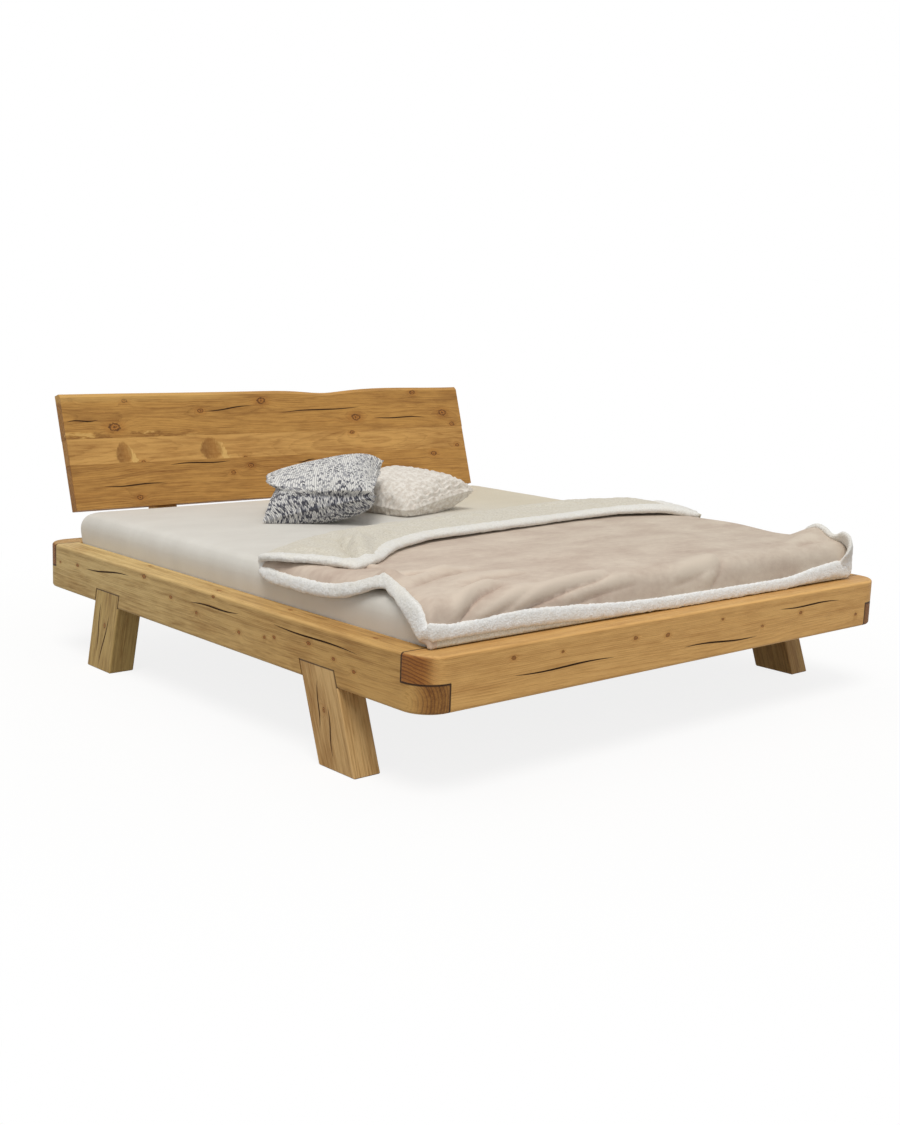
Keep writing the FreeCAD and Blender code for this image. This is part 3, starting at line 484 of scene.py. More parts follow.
for wood, side in ((left_wood, -1), (right_wood, 1)):

    def on_side(share, height):
        y = side * frame_length * (share - 0.5) + frame_middle
        return (side * bed_half, y, rail_bottom + rail_height * height)

    toward_foot = (1 - wood.rise(wood.run, -1.1, 0.7)) * 0.84
    wood.colour = wood.mix(toward_foot, wood.colour, (0.90, 0.70, 0.48, 1), "MULTIPLY")
    split_marks(wood, split_lines(side_splits, on_side), (side, 0, 0), 0.004)
    corner_marks(wood, "y")

for wood, end in ((foot_wood, -1), (head_wood, 1)):

    def on_end(share, height):
        x = -end * frame_length * (share - 0.5)
        return (x, frame_middle + end * bed_half, rail_bottom + rail_height * height)

    facing = wood.parts(wood.facing())
    # painted shade: the faces that look upward are darkened and cooled
    upward = wood.rise(facing[2], 0.55, 0.95) * 0.9
    sideways = wood.rise(abs(facing[0]), 0.30, 0.85) * 0.9
    wood.colour = wood.mix(sideways, wood.colour, (0.78, 0.70, 0.60, 1), "MULTIPLY")
    wood.colour = wood.mix(upward, wood.colour, (0.80, 0.81, 0.84, 1), "MULTIPLY")
    split_marks(wood, split_lines(foot_splits, on_end), (0, end, 0), 0.004)
    corner_marks(wood, "x")

dress(nodes["side_rail_left"], left_wood)
dress(nodes["side_rail_right"], right_wood)
dress(nodes["foot_rail"], foot_wood)
dress(nodes["head_rail"], head_wood)


# Legs
# Four leaning spruce blocks, let into the rails' undersides, with long drying splits down their faces.

foot_lean = math.radians(20)
head_lean = math.radians(14)
foot_inset = 0.392
head_inset = 0.408
leg_top = 0.297
leg_width = 0.160
foot_leg_splits = ((0.76, 0.56, 0.42, 1.02), (0.52, 0.39, 0.15, 0.74))
head_leg_splits = ((0.32, 0.28, 0.25, 1.02), (0.48, 0.68, 0.05, 0.86))
for name, x, y, lean, pale, late, seed in (
    ("foot_leg_left", -1.02, -0.70, foot_lean, (218, 180, 122), (163, 121, 66), 5.0),
    ("foot_leg_right", 1.02, -0.66, foot_lean, (196, 158, 98), (146, 104, 54), 6.0),
    ("head_leg_left", -1.00, 0.60, -head_lean, (198, 168, 106), (142, 108, 56), 7.0),
    ("head_leg_right", 1.00, 0.62, -head_lean, (196, 162, 102), (144, 108, 56), 8.0),
):
    way = (0, math.sin(lean), math.cos(lean))
    side = math.copysign(1, x)
    end = -math.copysign(1, lean)
    leg_knots = [(side * bed_half, y - 0.03, 0.17, 0.005), (x, y - 0.10, 0.08, 0.006)]
    leg_wood = spruce(
        name + "_spruce", way, (1, 0, 0), (x, y, 0.15), pale, late, leg_knots, 0.0036, seed, 0.04
    )
    inset = foot_inset if end < 0 else head_inset
    slope = math.tan(abs(lean))
    leg_wide = leg_width / math.cos(lean)

    def on_leg(across, share):
        z = rail_bottom * share
        along = end * (bed_half - inset - leg_wide * across + (leg_top - z) * slope)
        return (side * bed_half, along + frame_middle, z)

    leg_splits = foot_leg_splits if end < 0 else head_leg_splits
    split_marks(leg_wood, split_lines(leg_splits, on_leg), (side, 0, 0), 0.004)
    _, y_at, z_at = leg_wood.parts(leg_wood.place())
    middle_y = end * (bed_half - inset - leg_wide / 2) + frame_middle
    across_leg = abs(y_at - middle_y - (leg_top - z_at) * (slope * end))
    in_housing = leg_wood.rise(z_at, rail_bottom - 0.001, rail_bottom + 0.002)
    rim = leg_wood.rise(across_leg, leg_wide / 2 - 0.0055, leg_wide / 2 - 0.0035) * in_housing
    rim = rim.sum("MAXIMUM", leg_wood.rise(z_at, leg_top - 0.0055, leg_top - 0.0035))
    leg_wood.feed("Base Color", leg_wood.mix(rim * 0.92, leg_wood.colour, paint(66, 42, 16)))
    dress(nodes[name], leg_wood)


# Headboard
# Three thick boards glued edge to edge and leaned back, the top one with its wavy live edge, screwed to
# two posts; the middle board keeps two hewn hollows where branches were.

board_left = -1.005
board_length = 2.010
board_rise = 461
board_foot = (0.9579, 0.526)
board_lean = math.radians(17.3)
board_up = (0, math.sin(board_lean), math.cos(board_lean))
board_front = (0, -math.cos(board_lean), math.sin(board_lean))


def board_spot(share, height):
    """A place on the headboard's front: its share of the length from the left, and its millimetres up."""
    x = board_left + share * board_length
    y = board_foot[0] + height * 0.001 * board_up[1]
    return (x, y, board_foot[1] + height * 0.001 * board_up[2])


top_knots = [
    (*board_spot(0.104, 315), 0.014), (*board_spot(0.450, 409), 0.012), (*board_spot(0.692, 328), 0.013),
    (*board_spot(0.946, 339), 0.013), (*board_spot(0.865, 436), 0.009), (*board_spot(0.133, 418), 0.007),
    (*board_spot(0.020, 425), 0.006), (*board_spot(0.30, 372), 0.008), (*board_spot(0.97, 285), 0.008),
]
low_knots = [
    (*board_spot(0.356, 114), 0.006), (*board_spot(0.136, 34), 0.008), (*board_spot(0.40, 138), 0.008),
    (*board_spot(0.62, 120), 0.008), (*board_spot(0.90, 150), 0.009), (*board_spot(0.76, 60), 0.009),
]
middle_knots = [
    (*board_spot(0.675, 262), 0.007), (*board_spot(0.975, 184), 0.007), (*board_spot(0.155, 172), 0.006),
    (*board_spot(0.39, 172), 0.006),
]
board_splits = (
    (0.307, 0.428, 0.803, 0.843), (0.494, 0.708, 0.774, 0.814), (0.742, 0.893, 0.707, 0.692),
    (0.213, 0.354, 0.341, 0.352), (0.064, 0.201, 0.186, 0.184), (0.006, 0.071, 0.737, 0.746),
    (0.516, 0.567, 0.308, 0.325),
)
board_levels = {
    "headboard_bottom_board": (0.0, 0.375),
    "headboard_middle_board": (0.375, 0.59),
    "headboard_top_board": (0.59, 1.0),
}
board_lines = split_lines(board_splits, lambda share, height: board_spot(share, height * board_rise))
board_finishes = {}
for name, middle, knots, pale, late, seed, depth in (
    # the bottom board's darker tones hold painted shade as well as its own colour
    ("headboard_bottom_board", 60, low_knots, (195, 145, 75), (135, 90, 38), 9.0, 0.07),
    ("headboard_middle_board", 215, middle_knots, (213, 164, 93), (160, 113, 54), 10.0, 0.12),
    ("headboard_top_board", 350, top_knots, (198, 148, 77), (136, 91, 38), 11.0, 0.05),
):
    on_face = Vector(board_spot(0.5, middle))
    heart = on_face - Vector(board_front) * depth
    board = spruce(
        name + "_spruce", (1, 0, 0), board_up, heart, pale, late, knots, 0.0055, seed, 0.10, 0.55, 0.5
    )
    board_low, board_high = board_levels[name]
    lines = [line for line, split in zip(board_lines, board_splits) if board_low <= split[2] < board_high]
    split_marks(board, lines, board_front, 0.0035)
    board_finishes[name] = board
    dress(nodes[name], board)


def hollow_mark(wood, colour, share, height, half_length, half_height, seed):
    """A hewn hollow left by a branch: a dark tear-shaped facet, partly painted shade deepening to its left,
    with a pale splintered edge to its right.
    """
    middle = Vector(board_spot(share, height))
    out_from = wood.place() - middle
    ragged = wood.cloud(out_from * (60, 60, 60) + (seed, seed, seed), detail=3) - 0.5
    across = wood.along(out_from, (1, 0, 0)) / half_length + ragged * 0.5
    upward = wood.along(out_from, board_up) / half_height + ragged * 0.3
    spread = 1.05 - upward * 0.25
    reach = (across / spread) ** 2 + upward ** 2
    across_far = (across - 0.85 + upward * 0.55) * 2.2
    rim_reach = across_far ** 2 + (upward + 0.35) ** 2 * 0.8
    splinter = wood.cloud(out_from * (220, 60, 60) + (seed, 0, seed), detail=3) - 0.5
    pale_rim = 1 - wood.rise(rim_reach + ragged * 1.2 + splinter * 1.4, 0.5, 0.9)
    colour = wood.mix(pale_rim * 0.85, colour, paint(226, 184, 110))
    # the hollow's dark inside is partly painted shade, deepest on its left side
    dark = (1 - wood.rise(reach + splinter * 0.6, 0.55, 1.05)) * (0.70 + ragged * 0.8 + splinter * 0.5)
    hewn = wood.mix(wood.rise(across, -0.9, 0.6), paint(122, 76, 26), paint(160, 108, 46))
    return wood.mix(dark, colour, hewn)


middle_wood = board_finishes["headboard_middle_board"]
marked = hollow_mark(middle_wood, middle_wood.colour, 0.116, 214, 0.034, 0.046, 1.0)
marked = hollow_mark(middle_wood, marked, 0.312, 216, 0.052, 0.050, 5.0)
middle_wood.feed("Base Color", marked)

top_wood = board_finishes["headboard_top_board"]
edge_noise = top_wood.cloud(top_wood.spot * (7, 30, 30), detail=4, rough=0.65)
from_corner = top_wood.place() - board_spot(0.0, 0)
high = top_wood.along(from_corner, board_up)
left_share = top_wood.along(from_corner, (1, 0, 0)) / board_length
bark_side = top_wood.rise(high + (edge_noise - 0.5) * 0.05, 0.405, 0.432)
bark_side = bark_side * (1 - top_wood.rise(left_share, 0.28, 0.45))
on_joint = (1 - top_wood.rise(high, 0.292, 0.304)) * (1 - top_wood.rise(left_share, 0.20, 0.32) * 0.9)
chips = top_wood.rise(edge_noise, 0.56, 0.62) * on_joint * 0.8
chip_shade = top_wood.rise(edge_noise, 0.44, 0.50) * (1 - top_wood.rise(edge_noise, 0.50, 0.56))
chip_shade = chip_shade * on_joint * 0.6
top_colour = top_wood.mix(chip_shade, top_wood.colour, paint(124, 80, 30))
top_colour = top_wood.mix((bark_side * 0.55).sum("MAXIMUM", chips), top_colour, paint(222, 178, 104))
top_wood.feed("Base Color", top_colour)

for name, x, seed in (("headboard_post_left", -0.6, 12.0), ("headboard_post_right", 0.6, 13.0)):
    post_wood = spruce(
        name + "_spruce", board_up, (1, 0, 0), (x, 1.09, 0.6), (200, 160, 100), (170, 126, 70), (), seed=seed
    )
    dress(nodes[name], post_wood)


# Slatted base
# Sixteen planed spruce slats on two ledgers and a centre beam, tied together by two stapled bands.

close_ring = 0.0034
ledger_tones = ((218, 190, 140), (190, 154, 100))
slat_wood = spruce(
    "slat_spruce", (1, 0, 0), (0, 1, 0), (0, 0, 0.19), (222, 196, 148), (196, 160, 108), (), close_ring,
    14.0, 0.03
)
for name, node in nodes.items():
    if name.startswith("slat_") and not name.startswith("slat_band"):
        dress(node, slat_wood)
ledger_wood = spruce(
    "ledger_spruce", (0, 1, 0), (1, 0, 0), (0, 0, 0.22), *ledger_tones, (), close_ring, 15.0, 0.03
)
for name in ("ledger_left", "ledger_right", "centre_beam"):
    dress(nodes[name], ledger_wood)
centre_leg_wood = spruce(
    "centre_leg_spruce", (0, 0, 1), (1, 0, 0), (0.02, -0.03, 0), *ledger_tones, (), close_ring, 16.0, 0.02
)
dress(nodes["centre_leg"], centre_leg_wood)


# Dowels and pegs
# Turned beech, pale pinkish brown with the small dark flecks of its rays.

beech = Finish("turned_beech", Roughness=0.45)
rod_place = beech.place()
fleck = beech.cloud(rod_place * (900, 900, 160), detail=2)
beech_tone = beech.cloud(rod_place * (90, 90, 12), detail=3)
beech_colour = beech.mix(beech_tone, paint(214, 176, 132), paint(190, 146, 104))
beech_colour = beech.mix(beech.rise(fleck, 0.62, 0.72), beech_colour, paint(148, 102, 66))
beech.feed("Base Color", beech_colour)
beech.relief(fleck, 0.0002, 0.4)
for name in ("leg_dowels", "post_pegs"):
    dress(nodes[name], beech)


# Bolts, washers, screws, hangers and the leg's plate
# Zinc-plated steel, bright with faint grey clouds and fine rubbing marks.

zinc = Finish("zinc_steel", Metallic=1.0)
steel_place = zinc.place()
dull = zinc.cloud(steel_place * (140, 140, 140), detail=3)
rub = zinc.cloud(steel_place * (1500, 240, 900), detail=2)
zinc.feed("Base Color", zinc.mix(dull, paint(206, 208, 210), paint(168, 172, 178)))
zinc.feed("Roughness", 0.26 + dull * 0.16 + rub * 0.10)
zinc.relief(rub, 0.00008, 0.5)
for name in (
    "corner_bolts", "corner_washers", "headboard_screws", "ledger_screws", "beam_hanger_foot",
    "beam_hanger_head", "hanger_screws", "centre_leg_plate", "centre_leg_screw", "leg_plate_screws",
):
    dress(nodes[name], zinc)


# Slat bands
# Two flat woven bands under the slats, stapled to each, with turned selvedges that stand a little proud.

warp_pitch = 0.0022
weft_pitch = 0.0030


def ring_faces(ring_count, size, closed=False):
    """Faces between rings of points that follow each other, and over the two ends if these are closed."""
    faces = []
    for j in range(ring_count - 1):
        for k in range(size):
            a = j * size + k
            b = j * size + (k + 1) % size
            faces.append((a, b, b + size, a + size))
    if closed:
        faces.append(tuple(reversed(range(size))))
        faces.append(tuple(range((ring_count - 1) * size, ring_count * size)))
    return faces


band_weave = Finish("band_webbing", Roughness=0.85)
band_place = band_weave.parts(band_weave.place())
warp = (band_place[0] * (2 * math.pi / warp_pitch)).sum("SINE")
weft = (band_place[1] * (2 * math.pi / weft_pitch)).sum("SINE")
threads = warp * weft * 0.5 + 0.5
band_weave.feed("Base Color", band_weave.mix(threads, paint(196, 190, 176), paint(224, 220, 208)))
band_weave.relief(threads, 0.0004, 0.8)
for name in ("slat_band_left", "slat_band_right"):
    band_low, band_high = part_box(name)
    middle = (band_low[0] + band_high[0]) / 2
    half = (band_high[0] - band_low[0]) / 2
    length = band_high[1] - band_low[1]
    thick = band_high[2] - band_low[2]
    outline = []
    count = 28
    for k in range(count):
        angle = 2 * math.pi * k / count
        across = math.copysign(abs(math.cos(angle)) ** 0.35, math.cos(angle)) * half
        proud = 0.72 + 0.28 * (0.5 + 0.5 * abs(across / half) ** 6)
        depth = math.copysign(abs(math.sin(angle)) ** 0.5, math.sin(angle)) * thick / 2 * proud
        outline.append((across, depth))
    band_points = []
    steps = 240
    for j in range(steps + 1):
        y = band_low[1] + length * j / steps
        for across, depth in outline:
            band_points.append((middle + across, y, (band_low[2] + band_high[2]) / 2 + depth))
    band_faces = [(a, d, c, b) for a, b, c, d in ring_faces(steps + 1, count)]
    band_faces.append(tuple(range(count)))
    band_faces.append(tuple(reversed(range(steps * count, (steps + 1) * count))))
    band = new_piece(name.replace("slat_band", "woven_band"), band_points, band_faces)
    dress(band, band_weave)
    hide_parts(name)
    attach(band, "slatted_base")


# Mattress
# A firm foam mattress in a quilted ticking cover, soft along its edges and rounded at its corners.

mattress_low, mattress_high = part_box("fitted_sheet")
mattress_middle = (mattress_low[1] + mattress_high[1]) / 2
mattress_half = (mattress_high[0] - mattress_low[0]) / 2
mattress_top = mattress_high[2]
mattress_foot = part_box("mattress")[0][2]
mattress_height = mattress_top - mattress_foot
side_steps = 110
corner_steps = 14
quilt_pitch = 0.16


def smooth_line(points, steps):
    """Points along a soft line through the given ones, so many to each run between two."""
    points = [np.array(point, float) for point in points]
    line = []
    for i in range(len(points) - 1):
        before = points[max(i - 1, 0)]
        here = points[i]
        following = points[i + 1]
        after = points[min(i + 2, len(points) - 1)]
        for k in range(steps):
            t = k / steps
            enter = (following - before) / 2
            leave = (after - here) / 2
            line.append(
                here * (2 * t**3 - 3 * t**2 + 1)
                + enter * (t**3 - 2 * t**2 + t)
                + following * (3 * t**2 - 2 * t**3)
                + leave * (t**3 - t**2)
            )
    line.append(points[-1])
    return np.array(line)


def slab_ring(inset, z):
    """A level ring round the mattress: straight sides and round corners, pulled in by the inset."""
    half = mattress_half - inset
    radius = min(0.022 + inset * 0.5, half * 0.98)
    ring = []
    for quarter in range(4):
        spin = quarter * math.pi / 2
        for k in range(side_steps):
            along = -1 + 2 * k / side_steps
            ring.append((half, along * (half - radius), spin))
        for k in range(corner_steps):
            angle = math.pi / 2 * k / corner_steps
            x = half - radius + radius * math.cos(angle)
            y = half - radius + radius * math.sin(angle)
            ring.append((x, y, spin))
    placed = []
    for x, y, spin in ring:
        px = x * math.cos(spin) - y * math.sin(spin)
        py = x * math.sin(spin) + y * math.cos(spin)
        placed.append((px, mattress_middle + py, z))
    return placed


def slab_profile(inward):
    """Inset and height of the mattress's side from its foot to the flat of its top, less a cover."""
    shares = [
        (0.25, 0.0), (0.0, 0.07), (-0.02, 0.35), (-0.10, 0.62), (-0.07, 0.76), (0.06, 0.86), (0.28, 0.93),
        (0.70, 0.972), (1.80, 0.992), (4.0, 1.0),
    ]
    profile = []
    for inset, height in smooth_line(shares, 5):
        up = mattress_foot + min(height, 1.0) * mattress_height
        profile.append((inset * 0.060 + inward, up - inward * min(1.0, max(inset, 0))))
    return profile


core_rings = []
for inset in (0.95, 0.70, 0.40, 0.15, 0.04):
    core_rings.append(slab_ring(inset, mattress_foot))
for inset, z in slab_profile(0.0026):
    core_rings.append(slab_ring(inset, z))
for inset in np.linspace(0.30, 0.96, 24):
    core_rings.append(slab_ring(float(inset), mattress_top - 0.003))
ring_size = len(core_rings[0])
core_points = []
for ring_points in core_rings:
    for x, y, z in ring_points:
        if z > mattress_top - 0.008:
            wave = abs(math.sin(math.pi * x / quilt_pitch))
            wave *= abs(math.sin(math.pi * (y - mattress_middle) / quilt_pitch))
            z -= 0.003 * (1 - wave**0.5)
        core_points.append((x, y, z))
core = new_piece("mattress_core", core_points, ring_faces(len(core_rings), ring_size, closed=True))
ticking = Finish("quilted_ticking", Roughness=0.8)
tick_place = ticking.parts(ticking.place())
tick = (tick_place[0] * 2600).sum("SINE") * (tick_place[1] * 2600).sum("SINE") * 0.5 + 0.5
tick_cloud = ticking.cloud(ticking.place() * (9, 9, 9), detail=3)
ticking.feed("Base Color", ticking.mix(tick_cloud, paint(232, 230, 224), paint(216, 214, 208)))
ticking.relief(tick * 0.4 + tick_cloud, 0.0006, 0.6)
dress(core, ticking)
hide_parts("mattress")
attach(core, "mattress")


# Fitted sheet
# Off-white cotton jersey drawn over the mattress, its elastic hem under the edge gathering the sides into
# faint upright tucks and a few long soft creases across the top.

sheet_hem = mattress_low[2]
cloth = 0.0009
outer_rings = [(0.0, sheet_hem)]
outer_rings += [(inset, z) for inset, z in slab_profile(0.0) if z > sheet_hem]
outer_rings += [(hundredths / 100, mattress_top) for hundredths in range(28, 100, 4)]


def sheet_tucks(x, y, z):
    """How far the sheet sinks at a place, in metres: tucks down the sides, creases on the top."""
    share = min(1.0, max(0.0, (mattress_top - 0.02 - z) / 0.12))
    around = Vector((x * 34, y * 34, z * 5))
    tuck = 0.5 + 0.5 * noise.noise(around)
    broad = 0.5 + 0.5 * noise.noise(Vector((x * 7, y * 7, z * 2 + 4)))
    on_top = min(1.0, max(0.0, (z - mattress_top + 0.02) / 0.02))
    crease = noise.noise(Vector((x * 2.2 + y * 1.4, y * 7 - x * 2, 9.0)))
    return share * (0.0010 * tuck + 0.0006 * broad) + on_top * 0.0012 * (0.5 + 0.5 * crease)


def drawn_in(x, y, depth):
    """A place of the sheet's side moved in toward the mattress's middle."""
    pull = 1 - depth / mattress_half
    return x * pull, mattress_middle + (y - mattress_middle) * pull


# the skin is laid once for the upper face; the same places a cloth's thickness in make the under face
sheet_skin = []
for inset, z in outer_rings:
    for x, y, up in slab_ring(inset, z):
        sink = sheet_tucks(x, y, up)
        if up > mattress_top - 0.008:
            sheet_skin.append((x, y, up - sink))
        else:
            sheet_skin.append((*drawn_in(x, y, sink), up))
outer_count = len(outer_rings)
sheet_points = list(sheet_skin)
for j, (inset, z) in enumerate(outer_rings):
    lean = min(1.0, max(0.0, (z - mattress_top + 0.06) / 0.06))
    for x, y, up in sheet_skin[j * ring_size : (j + 1) * ring_size]:
        sheet_points.append((*drawn_in(x, y, cloth * (1 - lean)), up - cloth * lean))
skin_faces = ring_faces(outer_count, ring_size)
under = outer_count * ring_size
sheet_faces = list(skin_faces)
sheet_faces += [tuple(under + index for index in reversed(face)) for face in skin_faces]
for k in range(ring_size):
    following = (k + 1) % ring_size
    sheet_faces.append((following, k, under + k, under + following))
last = (outer_count - 1) * ring_size
sheet_faces.append(tuple(range(last, last + ring_size)))
sheet_faces.append(tuple(reversed(range(under + last, under + last + ring_size))))
bed_sheet = new_piece("sheet_cloth", sheet_points, sheet_faces)
jersey = Finish("sheet_jersey", Roughness=0.75, Sheen_Weight=0.15)
jersey_place = jersey.place()
jersey_parts = jersey.parts(jersey_place)
knit = (jersey_parts[0] * 3900).sum("SINE") * (jersey_parts[1] * 3900 + jersey_parts[2] * 3900).sum("SINE")
soft = jersey.cloud(jersey_place * (5, 9, 5), detail=4, rough=0.55)
upright_tuck = jersey.cloud(jersey_place * (26, 26, 3), detail=2)
cloth_colour = jersey.mix(soft, paint(226, 223, 216), paint(210, 206, 198))
# painted warm shade: the sheet is darkened and warmed toward the back right
warm_painted_shade = jersey.rise(jersey_parts[0] + jersey_parts[1] * 0.5, -0.1, 0.95) * 0.8
jersey.feed("Base Color", jersey.mix(warm_painted_shade, cloth_colour, (0.90, 0.83, 0.66, 1), "MULTIPLY"))
jersey.relief(soft * 1.2 + upright_tuck * 0.8 + knit * 0.05, 0.004, 0.5)
dress(bed_sheet, jersey)
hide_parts("fitted_sheet")
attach(bed_sheet, "mattress")


# Throw
# A plush blanket lined with fleece, laid over the foot of the bed and turned back at its head, with a lip
# over the left edge and a thick fleece border sewn all round; in millimetres from the frame's middle.

frame_shift = frame_middle * 1000
throw_thick = 14.0
lower_level = 541.0
upper_base = 531.3
unit_rise = 18
flat_half = 919.0
plush_floor = 411.0
border_floor = 410.8
nose_reach = 13.0
side_curve = smooth_line([(0, 0), (42, 2), (72, 10), (91, 29), (98, 58), (100, 100), (100, 150)], 8)
foot_curve = smooth_line([(0, 0), (42, 2), (76, 11), (96, 33), (104, 66), (108, 100), (111, 138)], 8)


def run_lengths(curve):
    """How far each point of a curve is from its start, along the curve."""
    steps = np.hypot(*np.diff(curve, axis=0).T)
    return np.concatenate([[0], np.cumsum(steps)])


side_run = run_lengths(side_curve)
foot_run = run_lengths(foot_curve)
station = np.array([-1100, -1015, -980, -900, -800, -620, -400, -150, 150, 450, 680, 880, 1000, 1100], float)
fold_at = np.array([-215, -210, -205, -168, -118, -55, -38, 5, 58, 100, 110, 55, -35, -60], float)
free_at = np.array(
    [-576, -576, -576, -571, -530, -390, -304, -266, -228, -194, -192, -260, -330, -345], float
)
back_rise = np.array([0, 0, 0.1, 0.2, 0.4, 0.9, 1.3, 1.1, 0.9, 0.9, 1.3, 2.0, 2.3, 2.1], float)
edge_drop = np.array([0.5, 0.40, 0.2, 0.10, 0.05, 0, 0, 0, 0, 0, 0, 0.25, 1.7, 2.6], float)
first_rise = np.array([0, 0, 0, 0.1, 0.3, 0.6, 0.1, 0.7, 0.1, 0.5, -0.1, -0.3, -0.5, -0.5], float)
second_rise = np.array([0.1, 0.1, 0.1, 0.3, 0.3, 0.1, 0.5, 0, 0.2, 0, 0.3, 0.1, 0.2, 0.2], float)


def across_bed(x, values):
    """A value between the stations across the bed, without corners at them."""
    x = np.asarray(x, float)
    steps = ((-60, 0.1), (-30, 0.2), (0, 0.4), (30, 0.2), (60, 0.1))
    return sum(np.interp(x + step, station, values) * share for step, share in steps)


def line_distance(x, y, line):
    """Distance to a line of points, which side it is on, and how far along it, for many places at once."""
    best = np.full(x.shape, 1e9)
    side = np.zeros(x.shape)
    along = np.zeros(x.shape)
    line = np.asarray(line, float)
    lengths = run_lengths(line)
    for i in range(len(line) - 1):
        ax, ay = line[i]
        dx, dy = line[i + 1] - line[i]
        size = math.hypot(dx, dy)
        t = np.clip(((x - ax) * dx + (y - ay) * dy) / size**2, 0, 1)
        off_x = x - ax - t * dx
        off_y = y - ay - t * dy
        distance = np.hypot(off_x, off_y)
        closer = distance < best
        best = np.where(closer, distance, best)
        side = np.where(closer, np.sign(dx * off_y - dy * off_x), side)
        along = np.where(closer, (lengths[i] + t * size) / lengths[-1], along)
    return best, side, along


# each crease: its line in the cloth laid flat, its depth and its width
plush_creases = [
    ([(-985, -880), (-919, -846), (-774, -795), (-600, -767)], 9, 24),
    ([(-945, -1090), (-905, -1050), (-838, -1008), (-745, -975), (-650, -945)], 13, 22),
    ([(-780, -1090), (-700, -1062), (-570, -1035), (-430, -1016), (-310, -1002), (-205, -972)], 13, 20),
    ([(-900, -1100), (-840, -1078), (-720, -1040), (-640, -1018), (-560, -1005)], 7, 18),
    ([(-560, -1085), (-400, -1052), (-260, -1035), (-120, -1028)], 7, 22),
    ([(-860, -960), (-740, -905), (-600, -880), (-470, -880)], 6, 26),
    ([(-900, -700), (-860, -740), (-790, -770), (-690, -800)], 7, 22),
    ([(-40, -1060), (90, -1040), (230, -1015), (330, -985)], 6, 30),
    ([(150, -1110), (210, -1060), (270, -1000), (290, -940)], 6, 32),
    ([(700, -990), (780, -965), (860, -960), (930, -985)], 6, 26),
    ([(-960, -330), (-900, -380), (-840, -450), (-800, -520)], 5, 20),
    ([(-980, -480), (-920, -520), (-870, -570), (-840, -610)], 6, 18),
]
fleece_creases = [
    ([(-690, -150), (-760, -290), (-825, -410), (-905, -570)], 15, 34),
    ([(-480, -170), (-640, -240), (-760, -330), (-830, -430)], 12, 30),
    ([(-970, -250), (-920, -330), (-880, -420)], 5, 26),
    ([(-300, -120), (-100, -110), (100, -60)], 3, 30),
    ([(300, -20), (480, -10), (640, -40)], 4, 30),
]


def creased(x, y, creases):
    """Height that the creases add: each a sunk line with a ridge along one side, fading at its ends."""
    height = np.zeros(x.shape)
    for line, depth, width in creases:
        distance, side, along = line_distance(x, y, smooth_line(line, 4))
        width = width * 0.75
        fade = np.clip(np.minimum(along, 1 - along) * 3.5, 0, 1)
        fade = fade * fade * (3 - 2 * fade)
        signed = distance * side
        valley = np.exp(-((distance / (width * 0.62)) ** 1.3))
        ridge = np.exp(-(((signed - width * 1.5) / (width * 1.3)) ** 2))
        height += fade * depth * (ridge * 1.40 - valley * 1.30)
    return height


def lower_place(x_flat, y_flat):
    """Where a point of the lying part comes, from its place in the cloth laid flat."""
    over_side = np.clip(np.abs(x_flat) - flat_half, 0, None)
    out = np.interp(over_side, side_run, side_curve[:, 0])
    drop_side = np.interp(over_side, side_run, side_curve[:, 1])
    x = np.sign(x_flat) * (np.minimum(np.abs(x_flat), flat_half) + out)
    over_foot = np.clip(-y_flat - flat_half, 0, None)
    out_foot = np.interp(over_foot, foot_run, foot_curve[:, 0])
    drop_foot = np.interp(over_foot, foot_run, foot_curve[:, 1])
    y = np.maximum(y_flat, -flat_half) - out_foot
    z = lower_level - (drop_side**3 + drop_foot**3) ** (1 / 3)
    free = across_bed(x, free_at)
    run = free + 1000
    for share, rises in ((0.40, first_rise), (0.72, second_rise)):
        z = z + unit_rise * across_bed(x, rises) * np.exp(-(((y + 1000 - run * share) / 120) ** 2))
    corner = np.exp(-((np.clip(1000 - x, 0, None) / 150) ** 2)) * np.exp(-(((y + 888) / 46) ** 2))
    z = z + 38 * corner
    pinch = np.exp(-(((x + 953) / 40) ** 2)) * np.exp(-(((y + 762) / 44) ** 2))
    z = z + 38 * pinch
    hem_hold = np.clip((drop_foot - 60) / 60, 0, 1)
    height = creased(x_flat, y_flat, plush_creases)
    slope = np.clip(drop_foot / 60, 0, 1)
    y = y - np.clip(height, -14, 16) * slope * (1 - hem_hold) * 0.8
    z = z + height * (1 - slope * 0.4) * (1 - hem_hold)
    return x, y, z


def upper_level(x, share):
    """Height of the turned-back part's middle, by its share of the way from the fold to the free edge."""
    rise = across_bed(x, back_rise)
    base = upper_base - unit_rise * across_bed(x, edge_drop) * np.interp(share, [0, 0.3, 1], [3.2, 1, 1])
    crown = np.interp(share, [0, 0.12, 0.5, 0.88, 1], [2.0, 2.05, 2.1, 2.0, 1.75])
    lift = np.interp(share, [0, 0.12, 0.35, 0.7, 1], [0.25, 0.70, 0.92, 0.76, 0.48])
    return base + unit_rise * (crown + rise * lift) - throw_thick / 2


flap_edge = [
    (-1030, -215), (-1030, -290), (-1021, -350), (-1000, -388), (-974, -430), (-955, -478), (-942, -526),
    (-921, -570),
]
flap_path = smooth_line(flap_edge, 10)


def flap_left(y):
    """How far left the turned-back part reaches."""
    order = np.argsort(flap_path[:, 1])
    return np.interp(y, flap_path[order, 1], flap_path[order, 0])


def upper_place(x, y):
    """Where a point of the turned-back part lies; its creases grow faint toward its border."""
    fold = across_bed(x, fold_at)
    free = across_bed(x, free_at)
    share = np.clip((fold - y) / (fold - free), 0, 1)
    z = upper_level(x, share)
    hold = np.clip(share * 6, 0, 1) * np.clip(0.2 + (y - free) / 90, 0.2, 1)
    hold = hold * np.clip(0.2 + (x - flap_left(y)) / 110, 0.2, 1)
    return x, y, z + creased(x, y, fleece_creases) * hold


